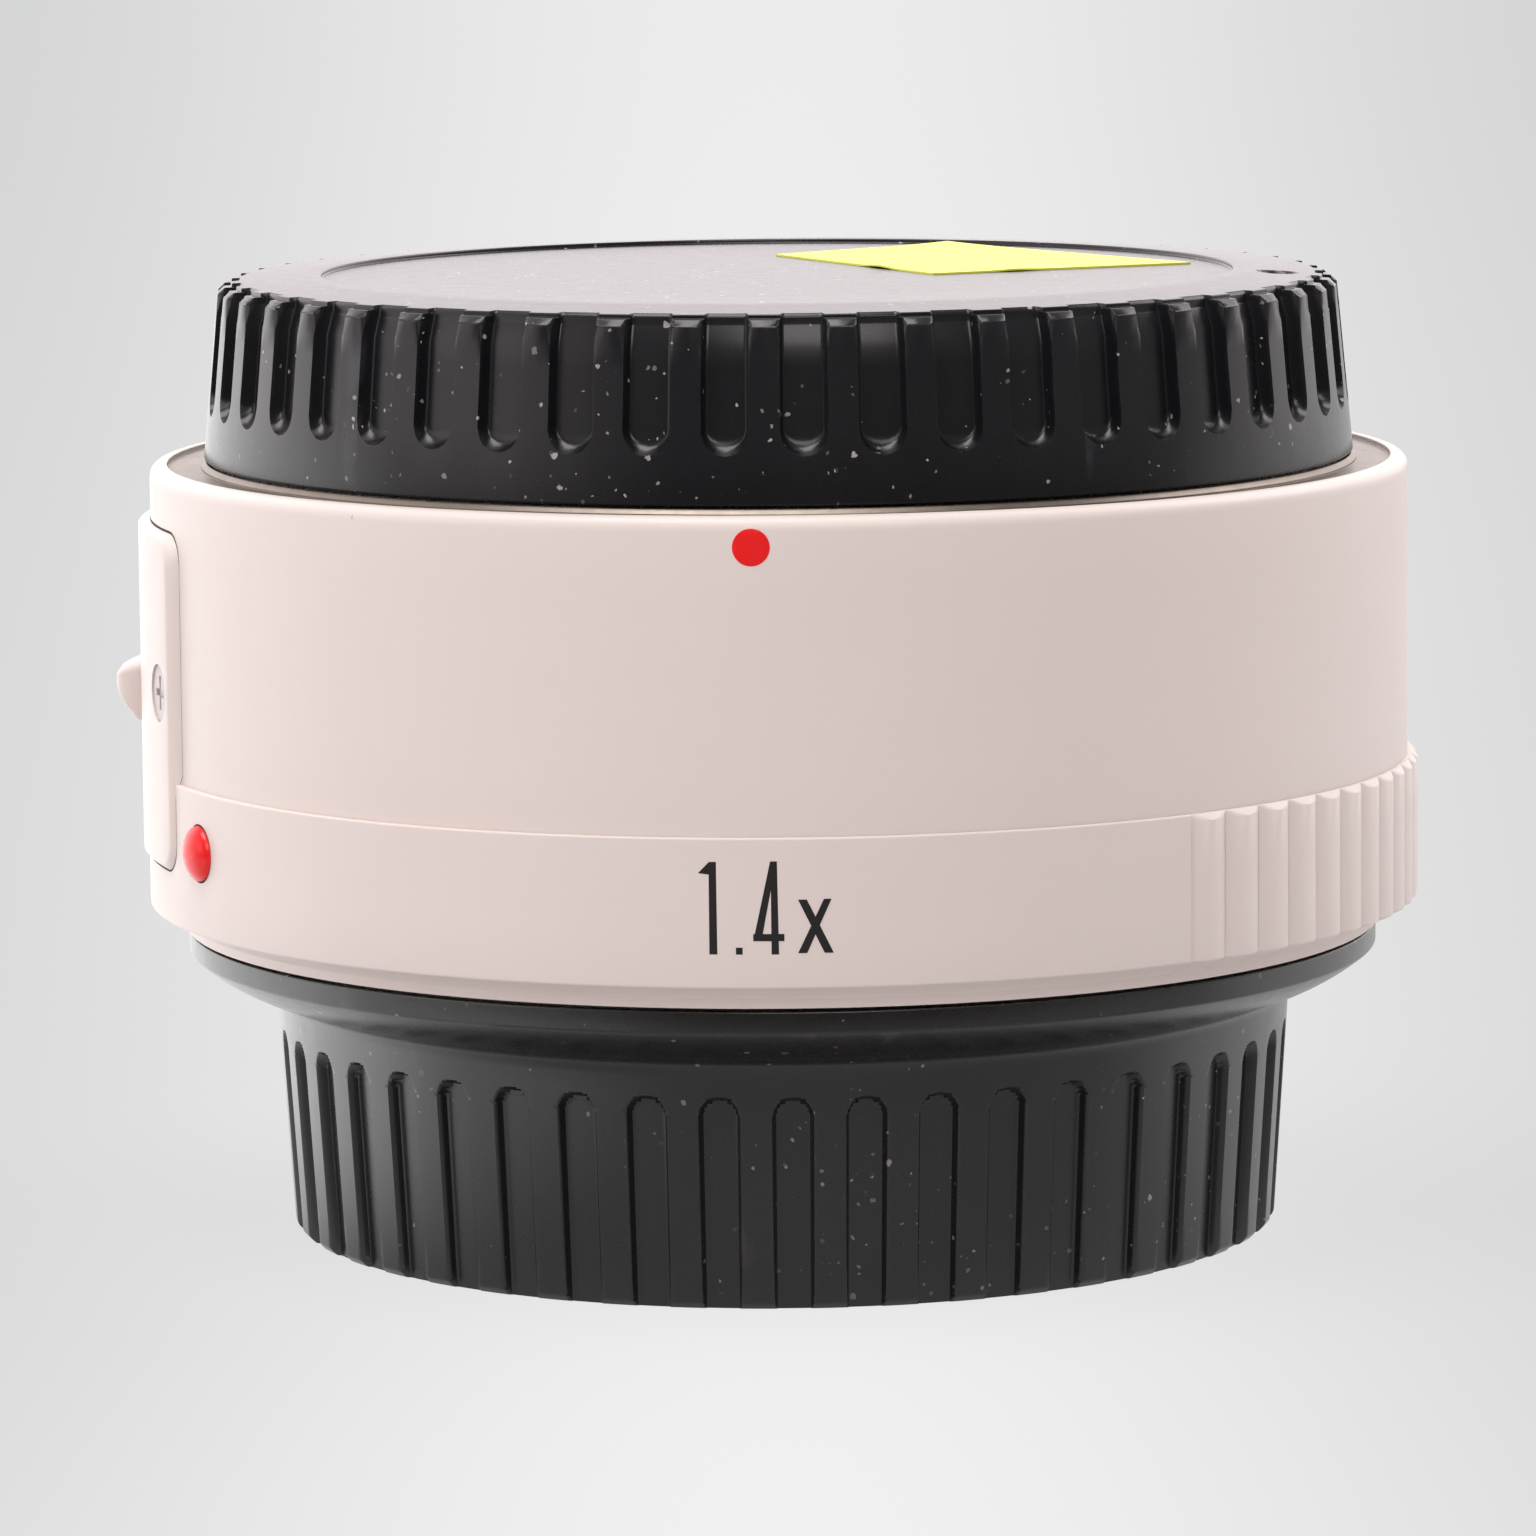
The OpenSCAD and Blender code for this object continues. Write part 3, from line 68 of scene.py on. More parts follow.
# Grip ring
GRIP_R = 36.18
GRIP_BORE = 33.5
GRIP_LOW = 17.55
SEAM = 27.0
LIP_R = 34.2
LIP_TOP = 18.1
GRIP_CHAMFER_TOP = 19.0
LEDGE_R = 32.4
LEDGE_LOW, LEDGE_TOP = 21.2, 22.7
REGISTER_R, REGISTER_TOP = 34.1, 28.3
REGISTER_NOTCH, REGISTER_NOTCH_LOW = 4.8, 27.3
RIB_COUNT, RIB_PITCH = 25, 4.2
RIB_CREST, RIB_DEPTH, RIB_POWER, RIB_CHAMFER = 36.4, 0.45, 2.6, 0.36

# Upper barrel
BARREL_R = 35.8
BARREL_BORE = 34.2
RIM_TOP, RIM_FACE = 44.0, 43.7
RIM_ROUND, RIM_WIDTH = 0.8, 1.0
MOUNT_HOLE_R, CLAMP_R = 32.6, 31.1
CLAMP_TOP, CLAMP_LOW = 42.4, 41.6
NOTCH_HALF, NOTCH_TOP = 2.3, 32.2

# Release catch
COVER_R = 36.5
COVER_HALF = 13.08
COVER_LOW, COVER_TOP = 22.0, 40.9
COVER_CORNER, COVER_SOFT = 1.6, 0.3
SLOT_HALF, SLOT_LOW, SLOT_TOP = 1.5, 27.4, 32.2
SCREW_ANGLE, SCREW_Z, SCREW_WELL_R, SCREW_WELL_D = 17.5, 31.9, 1.65, 0.5
KNOB_FOOT, KNOB_TIP = 36.7, 37.9
KNOB_MID, KNOB_HALF, KNOB_WIDE, KNOB_NOSE = 30.9, 1.7, 2.0, 0.65

# Front cap
CAP_FOOT, CAP_EDGE, CAP_TOP = 44.24, 54.3, 54.55
CAP_FOOT_R, CAP_TOP_R = 32.7, 31.8
CAP_BEVEL, LAND_TOP, DRUM_R = 0.36, 54.06, 31.02
DISC_R, DISC_Z, RIM_FLAT = 25.9, 54.3, 0.8
SKIRT_R, SKIRT_UP_R, SKIRT_STEP = 31.3, 30.0, 46.4
CEILING = 52.3
CAP_SPIGOT_R, CAP_SPIGOT_IN, CAP_SPIGOT_LOW = 25.0, 23.6, 39.9
CAP_LUG_R, CAP_LUG_LOW, CAP_LUG_TOP = 26.7, 40.6, 42.2
FLUTE_COUNT, FLUTE_FIRST = 48, FRONT_SIDE + 2.45
FLUTE_HALF, FLUTE_DEPTH, FLUTE_LOW = 1.27, 0.8, 46.9
FLUTE_EDGE, FLUTE_PLAIN_Z = 0.14, 50.4
FLUTE_COLUMNS = (0.45, 0.8, 0.97, 1.05, 1.13, 1.2, 1.26, 1.31, 1.39, 1.5)
FLUTE_ROWS = (0.95, 0.74, 0.56, 0.42, 0.3, 0.2, 0.12, 0.06, 0.02, -0.03, -0.15)
LAND_ROUND = 0.28
DIMPLE_ANGLE, DIMPLE_CIRCLE, DIMPLE_R, DIMPLE_D = -9.0, 28.55, 1.15, 0.26

# Rear cap
BASE_R, BASE_WALL_R, BASE_WALL_TOP = 28.2, 29.05, 13.75
BASE_EDGE = 0.4
FLANGE_R, FLANGE_LOW, FLANGE_TOP, FLANGE_BULGE = 34.0, 16.15, 17.35, 0.35
FLANGE_LIP_R, FLANGE_FACE = 32.9, 16.85
BASE_BORE, BASE_FLOOR = 26.7, 1.5
BASE_LUG_R, BASE_LUG_LOW, BASE_LUG_TOP = 25.2, 14.4, 15.9
CHANNEL_COUNT, CHANNEL_FIRST = 45, FRONT_SIDE + 0.95
CHANNEL_HALF, CHANNEL_DEPTH, CHANNEL_TOP = 1.025, 0.6, 11.75

# Marks, label and numerals
DOT_R, DOT_Z = 1.0, 42.4
BEAD_R, BEAD_Z, BEAD_DOME = 1.55, 23.6, 0.8
MARK_SEAT = 0.45
LABEL_CORNERS = ((-0.05, 14.6), (10.2, 23.5), (23.8, 4.8), (8.85, -2.3))
LABEL_T, LABEL_CURL = 0.1, 0.1
NUMERAL_LOW, NUMERAL_H, NUMERAL_PROUD = 20.8, 4.95, 0.004
NUMERAL_ANGLE = FRONT_SIDE - 1.4

# Light
FLOOR_GLOW = 0.91
MIRRORED_LEFT, MIRRORED_RIGHT = 2.2, 0.4
FLOOR_BOUNCE = (0.55, 0.535, 0.535, 1.0)
TENT = dict(all=0.12, back=1.7, left=1.0, right=0.2)
LAMP = dict(top=4.1, left=0.5, right=2.2, front=2.8)

# Shadow lines and bare metal ring
GAP_LOW, GAP_TOP, GAP_T, BEAD_GAP = 0.1, 0.13, 0.01, 0.1
EDGE_OUT, EDGE_FOOT, EDGE_IN, EDGE_BORE = 34.76, 32.88, 32.62, 32.55
EDGE_T, EDGE_STEP, EDGE_TOP = 0.03, 0.14, 0.4

# Springs
RELEASE_COIL = dict(radius=1.4, wire=0.4, low=24.3, top=29.9, turns=5)
CONTACT_COIL = dict(radius=0.5, wire=0.25, low=35.9, top=37.9, turns=3)
PIN_CIRCLE = 29.8
CONTACT_CIRCLE, CONTACT_PITCH, CONTACT_COUNT, CONTACT_SIDE = 22.6, 6.2, 9, 90.0


# Shapes

def ease(low, high, x):
    """Smooth step: 0 below low, 1 above high, level at both ends."""
    t = np.clip((x - low) / (high - low), 0, 1)
    return t * t * (3 - 2 * t)


def section(corners, closed=False, arc_steps=3):
    """Half section through corners (r, z, soft, step).

    Each corner gives way to a quadratic curve that leaves its two sides soft millimetres before it, and the
    side after it is cut into pieces no longer than step. Returns rows of (r, z) and the corner each row
    belongs to."""
    spot = np.array([c[:2] for c in corners], float)
    n = len(spot)
    rows, tags = [], []
    for i, (soft, step) in enumerate(c[2:] for c in corners):
        ahead, behind = spot[(i + 1) % n], spot[i - 1]
        last = not closed and i == n - 1
        inner = soft > 0 and (closed or 0 < i < n - 1)
        way = (ahead - spot[i]) / np.linalg.norm(ahead - spot[i])
        leave = spot[i] + way * soft if inner else spot[i]
        if inner:
            back = (behind - spot[i]) / np.linalg.norm(behind - spot[i])
            t = np.linspace(0, 1, arc_steps + 1)[:, None]
            arc = (1 - t) ** 2 * (spot[i] + back * soft) + 2 * t * (1 - t) * spot[i] + t ** 2 * leave
        else:
            arc = spot[i][None]
        rows.append(arc)
        if not last:
            ahead_soft = corners[(i + 1) % n][2] if closed or i < n - 2 else 0
            stop = ahead - way * ahead_soft
            count = max(1, math.ceil(np.linalg.norm(stop - leave) / step)) if step else 1
            rows.append(leave + np.linspace(0, 1, count + 1)[1:-1, None] * (stop - leave))
        tags.append(np.full(sum(len(x) for x in rows) - sum(len(x) for x in tags), i))
    return np.concatenate(rows), np.concatenate(tags)


def comb(count, first, offsets, radius):
    """Column angles of count equal periods. In each, columns stand at 0, at +-offsets (millimetres at that
    radius) and at the border. Returns the angles and each column's distance from its period's middle."""
    pitch = TURN / count
    off = np.array(offsets) / radius
    local = np.concatenate([-off[::-1], [0], off, [pitch / 2]])
    angles = math.radians(first) + np.arange(count)[:, None] * pitch + local[None]
    return angles.ravel(), np.tile(local * radius, count)


def turned(r, z, angles):
    """Surface of revolution: row i and column j at (r cos a_j, r sin a_j, z), r and z being full grids or
    one value a row."""
    r, z = (v[:, None] if v.ndim == 1 else v for v in (r, z))
    r, z, a = np.broadcast_arrays(r, z, angles[None])
    return np.stack([r * np.cos(a), r * np.sin(a), z], -1)


def near(angles, middles, half):
    """True for the angles within half of one of the middles, all but the angles in degrees."""
    gap = (np.degrees(angles)[:, None] - np.array(middles)[None] + 180) % 360 - 180
    return (np.abs(gap) <= half).any(1)


def outline(half_w, low, high, corner, across=8, along=12, arc=6):
    """Loop of (y, z) round a rectangle with round corners: four quarter circles joined by straight sides,
    always with the same number of points."""
    corner = min(corner, half_w, (high - low) / 2)
    w, h = half_w - corner, (high - low) / 2 - corner
    mid = (low + high) / 2
    turn = np.linspace(0, 90, arc + 1)
    loop = []
    for k, (sy, sz) in enumerate(((1, 1), (-1, 1), (-1, -1), (1, -1))):
        a = np.radians(turn + 90 * k)
        loop.append(np.stack([sy * w + corner * np.cos(a), sz * h + corner * np.sin(a)], -1))
        count = across if k % 2 == 0 else along
        start, ahead = loop[-1][-1], ((-1, 1), (-1, -1), (1, -1), (1, 1))[k]
        a = math.radians(90 * (k + 1))
        end = np.array([ahead[0] * w + corner * math.cos(a), ahead[1] * h + corner * math.sin(a)])
        loop.append(start + np.linspace(0, 1, count + 1)[1:-1, None] * (end - start))
    return np.concatenate(loop) + [0, mid]


def wrapped(y, z, r, angle):
    """Points at arc length y and height z on a round wall of radius r, about that angle in degrees."""
    y, z, r = np.broadcast_arrays(y, z, r)
    a = math.radians(angle) + y / r
    return np.stack([r * np.cos(a), r * np.sin(a), z], -1)


def grid_faces(rows, cols, wrap_rows, wrap_cols, start=0):
    """Quads between neighbours of a grid of points, also across its borders where it wraps."""
    index = start + np.arange(rows * cols).reshape(rows, cols)
    if wrap_rows:
        index = np.concatenate([index, index[:1]])
    if wrap_cols:
        index = np.concatenate([index, index[:, :1]], 1)
    return np.stack([index[:-1, :-1], index[:-1, 1:], index[1:, 1:], index[1:, :-1]], -1).reshape(-1, 4)


def skin(name, grids, finish, body, nodes=(), wrap_rows=False, wrap_cols=True, crease=38):
    """Mesh object over one or more grids of points. Coincident points are merged, which closes poles and
    seams, and the faces are turned outwards by the sign of the enclosed volume."""
    grids = grids if isinstance(grids, list) else [grids]
    points, faces, start = [], [], 0
    for g in grids:
        f = grid_faces(*g.shape[:2], wrap_rows, wrap_cols, start)
        p = g.reshape(-1, 3)
        q = p[f - start]
        volume = (np.cross(q[:, 1] - q[:, 0], q[:, 2] - q[:, 0]) * q[:, 0]).sum() \
            + (np.cross(q[:, 2] - q[:, 0], q[:, 3] - q[:, 0]) * q[:, 0]).sum()
        faces.append(f if volume > 0 else f[:, ::-1])
        points.append(p)
        start += len(p)
    mesh = bpy.data.meshes.new(name)
    mesh.from_pydata((np.concatenate(points) * MM).tolist(), [], np.concatenate(faces).tolist())
    bm = bmesh.new()
    bm.from_mesh(mesh)
    bmesh.ops.remove_doubles(bm, verts=bm.verts, dist=4e-7)
    bm.to_mesh(mesh)
    bm.free()
    mesh.shade_smooth()
    mesh.set_sharp_from_angle(angle=math.radians(crease))
    mesh.materials.append(finish)
    obj = bpy.data.objects.new(name, mesh)
    bpy.context.scene.collection.objects.link(obj)
    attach(obj, body)
    if nodes:
        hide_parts(*nodes)
    return obj


# Finishes

def shader(name, **sockets):
    """Material with one Principled BSDF whose own sockets hold the constants."""
    material = bpy.data.materials.new(name)
    material.use_nodes = True
    tree = material.node_tree
    bsdf = tree.nodes["Principled BSDF"]
    for socket, value in sockets.items():
        bsdf.inputs[socket.replace("_", " ")].default_value = value
    return material, tree, bsdf


def rgb(r, g, b):
    """Scene-linear colour from one written as it looks on a screen, 0 to 255."""
    c = np.array([r, g, b]) / 255
    return (*np.where(c <= 0.04045, c / 12.92, ((c + 0.055) / 1.055) ** 2.4), 1.0)


def node(tree, kind, links=(), **values):
    """Shader node with properties and input values set, and its inputs linked. Input keys start with in_."""
    n = tree.nodes.new(kind)
    for key, value in values.items():
        if key.startswith("in_"):
            n.inputs[int(key[3:]) if key[3:].isdigit() else key[3:].replace("_", " ")].default_value = value
        else:
            setattr(n, key, value)
    for target, source in dict(links).items():
        tree.links.new(source, n.inputs[target])
    return n


def group(name, inputs, outputs):
    """Empty shader node group with named value sockets. Returns the tree, its input and output nodes."""
    tree = bpy.data.node_groups.new(name, "ShaderNodeTree")
    for label, kind, default in inputs:
        s = tree.interface.new_socket(label, in_out="INPUT", socket_type=kind)
        if default is not None:
            s.default_value = default
    for label, kind in outputs:
        tree.interface.new_socket(label, in_out="OUTPUT", socket_type=kind)
    return tree, tree.nodes.new("NodeGroupInput"), tree.nodes.new("NodeGroupOutput")


def ramp(tree, value, low, high):
    """Value mapped from low..high to 0..1, smooth and clamped."""
    return node(tree, "ShaderNodeMapRange", {0: value}, interpolation_type="SMOOTHSTEP",
                in_1=low, in_2=high).outputs[0]


def multiply(tree, a, b):
    """Product of two values, the second a socket or a number."""
    if isinstance(b, (int, float)):
        return node(tree, "ShaderNodeMath", {0: a}, operation="MULTIPLY", in_1=b).outputs[0]
    return node(tree, "ShaderNodeMath", {0: a, 1: b}, operation="MULTIPLY").outputs[0]


def make_specks():
    """Dust: specks of uneven size and ragged outline on a share of the cells of a Voronoi pattern. A slow
    noise gathers them into clusters."""
    tree, inn, out = group("dust_specks", [("Vector", "NodeSocketVector", None),
                                           ("Scale", "NodeSocketFloat", 900.0),
                                           ("Size", "NodeSocketFloat", 0.16),
                                           ("Share", "NodeSocketFloat", 0.1)],
                           [("Mask", "NodeSocketFloat")])
    vector = inn.outputs["Vector"]
    ragged = node(tree, "ShaderNodeTexNoise", {"Vector": vector}, in_Scale=4000.0, in_Detail=2.0)
    push = node(tree, "ShaderNodeVectorMath", {0: ragged.outputs["Color"]}, operation="MULTIPLY_ADD",
                in_1=(3e-4, 3e-4, 3e-4), in_2=(-1.5e-4, -1.5e-4, -1.5e-4))
    where = node(tree, "ShaderNodeVectorMath", {0: vector, 1: push.outputs[0]}, operation="ADD")
    cell = node(tree, "ShaderNodeTexVoronoi", {"Vector": where.outputs[0], "Scale": inn.outputs["Scale"]})
    pick = node(tree, "ShaderNodeSeparateColor", {0: cell.outputs["Color"]})
    slow = node(tree, "ShaderNodeTexNoise", {"Vector": vector}, in_Scale=110.0, in_Detail=2.0)
    share = multiply(tree, ramp(tree, slow.outputs[0], 0.4, 0.68), inn.outputs["Share"])
    chosen = node(tree, "ShaderNodeMath", {0: pick.outputs[0], 1: share}, operation="LESS_THAN")
    size = multiply(tree, pick.outputs[1], inn.outputs["Size"])
    inside = node(tree, "ShaderNodeMath", {0: cell.outputs["Distance"], 1: size}, operation="LESS_THAN")
    faint = multiply(tree, inside.outputs[0], pick.outputs[2])
    tree.links.new(multiply(tree, chosen.outputs[0], faint), out.inputs["Mask"])
    return tree


def make_mottle():
    """Slow unevenness of a finish: fractal noise about zero."""
    tree, inn, out = group("finish_mottle", [("Vector", "NodeSocketVector", None),
                                             ("Scale", "NodeSocketFloat", 60.0),
                                             ("Strength", "NodeSocketFloat", 0.1)],
                           [("Value", "NodeSocketFloat")])
    noise = node(tree, "ShaderNodeTexNoise", {"Vector": inn.outputs["Vector"], "Scale": inn.outputs["Scale"]},
                 in_Detail=4.0, in_Roughness=0.6)
    middle = node(tree, "ShaderNodeMath", {0: noise.outputs[0]}, operation="SUBTRACT", in_1=0.5)
    tree.links.new(multiply(tree, middle.outputs[0], inn.outputs["Strength"]), out.inputs["Value"])
    return tree


def make_wear_and_highlight():
    """Edge wear and painted edge highlight: where the surface bends outwards, broken up by noise."""
    tree, inn, out = group("edge_wear_and_highlight", [("Vector", "NodeSocketVector", None),
                                         ("Scale", "NodeSocketFloat", 300.0),
                                         ("Low", "NodeSocketFloat", 0.52),
                                         ("High", "NodeSocketFloat", 0.62)],
                           [("Mask", "NodeSocketFloat")])
    bend = node(tree, "ShaderNodeNewGeometry")
    edge = node(tree, "ShaderNodeMapRange", {0: bend.outputs["Pointiness"], 1: inn.outputs["Low"],
                                             2: inn.outputs["High"]})
    noise = node(tree, "ShaderNodeTexNoise", {"Vector": inn.outputs["Vector"], "Scale": inn.outputs["Scale"]},
                 in_Detail=3.0)
    broken = ramp(tree, noise.outputs[0], 0.35, 0.65)
    tree.links.new(multiply(tree, edge.outputs[0], broken), out.inputs["Mask"])
    return tree


SPECKS, MOTTLE, WEAR_AND_HIGHLIGHT = make_specks(), make_mottle(), make_wear_and_highlight()


def effect(tree, kind, vector, **values):
    """One of the shared groups placed in a material, with its own values."""
    n = tree.nodes.new("ShaderNodeGroup")
    n.node_tree = kind
    tree.links.new(vector, n.inputs["Vector"])
    for key, value in values.items():
        n.inputs[key].default_value = value
    return n.outputs[0]


def blend_colour(tree, base, over, mask):
    """Colour base with colour over laid on it by a mask. Either may be a socket or a colour."""
    mix = node(tree, "ShaderNodeMix", data_type="RGBA")
    for i, c in ((6, base), (7, over)):
        if isinstance(c, tuple):
            mix.inputs[i].default_value = c
        else:
            tree.links.new(c, mix.inputs[i])
    tree.links.new(mask, mix.inputs[0])
    return mix.outputs[2]


def shade_colour(tree, colour, value):
    """Colour made lighter or darker by a value about zero."""
    gain = node(tree, "ShaderNodeMath", {0: value}, operation="ADD", in_1=1.0)
    vector = node(tree, "ShaderNodeVectorMath", {"Scale": gain.outputs[0]}, operation="SCALE")
    if isinstance(colour, tuple):
        vector.inputs[0].default_value = colour[:3]
    else:
        tree.links.new(colour, vector.inputs[0])
    return vector.outputs[0]


def add(tree, value, constant):
    """Value plus a constant."""
    return node(tree, "ShaderNodeMath", {0: value}, operation="ADD", in_1=constant).outputs[0]


def bump(tree, bsdf, height, strength, distance):
    """Bump from a height, into the shader's normal."""
    n = node(tree, "ShaderNodeBump", {"Height": height}, in_Strength=strength, in_Distance=distance)
    tree.links.new(n.outputs[0], bsdf.inputs["Normal"])


def place(tree):
    """Object coordinates of the piece."""
    return node(tree, "ShaderNodeTexCoord").outputs["Object"]


def paint_white():
    """Baked satin paint: warm off-white, slightly uneven, with fine orange peel, tiny dark nicks and painted
    grey shade where it bends inwards."""
    m, t, b = shader("white_paint", Roughness=0.4, Specular_IOR_Level=0.45)
    v = place(t)
    uneven = effect(t, MOTTLE, v, Scale=90.0, Strength=0.05)
    body = shade_colour(t, rgb(228, 218, 212), uneven)
    bend = node(t, "ShaderNodeNewGeometry").outputs["Pointiness"]
    # painted shade: grey darkening where the surface bends inwards
    crease_shade = multiply(t, ramp(t, bend, 0.485, 0.44), 0.45)
    body = blend_colour(t, body, rgb(150, 138, 132), crease_shade)
    nicks = effect(t, SPECKS, v, Scale=700.0, Size=0.13, Share=0.03)
    worn = blend_colour(t, body, rgb(120, 106, 98), nicks)
    t.links.new(worn, b.inputs["Base Color"])
    t.links.new(add(t, effect(t, MOTTLE, v, Scale=700.0, Strength=0.16), 0.4), b.inputs["Roughness"])
    peel = node(t, "ShaderNodeTexNoise", {"Vector": v}, in_Scale=2600.0, in_Detail=2.0)
    bump(t, b, peel.outputs[0], 0.05, 0.0001)
    return m


def plastic(name, colour, dust, roughness, dust_scale, dust_share, grain, relief, gloss, edge, specular=0.5):
    """Moulded black plastic: fine grain, paler rubbed edges that also carry a painted highlight, coarse and
    fine dust, and uneven gloss.
    """
    m, t, b = shader(name, Roughness=roughness, Specular_IOR_Level=specular)
    v = place(t)
    body = shade_colour(t, colour, effect(t, MOTTLE, v, Scale=120.0, Strength=0.5))
    # paler edges: partly rubbed wear, partly painted highlight
    rubbed_and_highlight = multiply(t, effect(t, WEAR_AND_HIGHLIGHT, v, Scale=420.0), 0.5)
    body = blend_colour(t, body, edge, rubbed_and_highlight)
    for scale, size in ((dust_scale, 0.22), (2.3 * dust_scale, 0.34)):
        specks = effect(t, SPECKS, v, Scale=scale, Size=size, Share=dust_share)
        body = blend_colour(t, body, dust, specks)
    t.links.new(body, b.inputs["Base Color"])
    t.links.new(add(t, effect(t, MOTTLE, v, Scale=900.0, Strength=gloss), roughness), b.inputs["Roughness"])
    rough = node(t, "ShaderNodeTexNoise", {"Vector": v}, in_Scale=grain, in_Detail=3.0)
    bump(t, b, rough.outputs[0], relief, 0.0001)
    return m


def metal(name, colour, roughness, turned_lines=0.0, uneven=0.12):
    """Machined metal: uneven gloss, and turning lines that circle the optical axis where asked for."""
    m, t, b = shader(name, Metallic=1.0, Roughness=roughness)
    v = place(t)
    tone = shade_colour(t, colour, effect(t, MOTTLE, v, Scale=240.0, Strength=uneven))
    t.links.new(tone, b.inputs["Base Color"])
    t.links.new(add(t, effect(t, MOTTLE, v, Scale=1200.0, Strength=0.2), roughness), b.inputs["Roughness"])
    if turned_lines:
        split = node(t, "ShaderNodeSeparateXYZ", {0: v})
        flat = node(t, "ShaderNodeCombineXYZ", {0: split.outputs[0], 1: split.outputs[1]})
        radius = node(t, "ShaderNodeVectorMath", {0: flat.outputs[0]}, operation="LENGTH").outputs["Value"]
        lines = node(t, "ShaderNodeTexNoise", {"W": radius}, noise_dimensions="1D", in_Scale=9000.0)
        bump(t, b, lines.outputs[0], turned_lines, 0.00005)
    return m


def coated_glass():
    """Coated lens: clear glass with a faint green and violet coating tint, the two mixed by slow noise."""
    m, t, b = shader("lens_glass", Roughness=0.02, IOR=1.52, Transmission_Weight=1.0)
    v = place(t)
    tint = effect(t, MOTTLE, v, Scale=30.0, Strength=0.2)
    t.links.new(blend_colour(t, (0.93, 0.98, 0.95, 1.0), (0.94, 0.92, 0.99, 1.0), add(t, tint, 0.5)),
                b.inputs["Base Color"])
    return m


def plain(name, colour, roughness, grain, uneven=0.12, specular=0.5):
    """Dull even material with fine grain."""
    m, t, b = shader(name, Roughness=roughness, Specular_IOR_Level=specular)
    v = place(t)
    tone = shade_colour(t, colour, effect(t, MOTTLE, v, Scale=200.0, Strength=uneven))
    t.links.new(tone, b.inputs["Base Color"])
    t.links.new(add(t, effect(t, MOTTLE, v, Scale=1000.0, Strength=0.15), roughness), b.inputs["Roughness"])
    rough = node(t, "ShaderNodeTexNoise", {"Vector": v}, in_Scale=grain, in_Detail=2.0)
    bump(t, b, rough.outputs[0], 0.08, 0.0001)
    return m


FINISH = {
    "white_paint": paint_white(),
    "gloss_black": plastic("gloss_black", rgb(22, 22, 25), rgb(176, 174, 172), 0.27, 1000.0, 0.3, 5200.0,
                           0.012, 0.06, rgb(62, 62, 68)),
    "matte_black": plastic("matte_black", rgb(25, 23, 22), rgb(150, 144, 138), 0.28, 1100.0, 0.25, 4200.0,
                           0.04, 0.1, rgb(66, 62, 60), 0.85),
    "black_resin": plain("black_resin", rgb(26, 26, 27), 0.5, 4000.0),
    "mount_chrome": metal("mount_chrome", rgb(226, 223, 218), 0.26, 0.1),
    "bare_edge": metal("bare_edge", rgb(132, 124, 114), 0.4, 0.1, 0.3),
    "cover_screws": plain("cover_screws", rgb(204, 196, 195), 0.45, 4000.0),
    "screw_steel": metal("screw_steel", rgb(232, 229, 228), 0.46),
    "black_steel": metal("black_steel", rgb(50, 50, 54), 0.36),
    "spring_steel": metal("spring_steel", rgb(190, 190, 196), 0.26),
    "shim_brass": metal("shim_brass", rgb(216, 196, 140), 0.3),
    "black_anodised": plain("black_anodised", rgb(30, 30, 32), 0.42, 6000.0),
    "lens_glass": coated_glass(),
    "contact_gold": metal("contact_gold", rgb(240, 208, 130), 0.2),
    "board_green": plain("board_green", rgb(24, 102, 60), 0.4, 3000.0),
    "flex_amber": plain("flex_amber", rgb(188, 128, 40), 0.35, 3000.0),
    "chip_black": plain("chip_black", rgb(30, 30, 32), 0.55, 5000.0),
    "ceramic_tan": plain("ceramic_tan", rgb(172, 148, 112), 0.6, 5000.0),
    "red_enamel": plain("red_enamel", rgb(240, 26, 28), 0.25, 2500.0, 0.08),
    "label_yellow": plain("label_yellow", rgb(246, 252, 96), 0.5, 2500.0, 0.05),
    "gap_shadow": plain("gap_shadow", rgb(74, 66, 64), 0.8, 5000.0, 0.1, 0.1),
    "numeral_black": plain("numeral_black", rgb(30, 27, 27), 0.5, 5000.0),
}


# Pieces

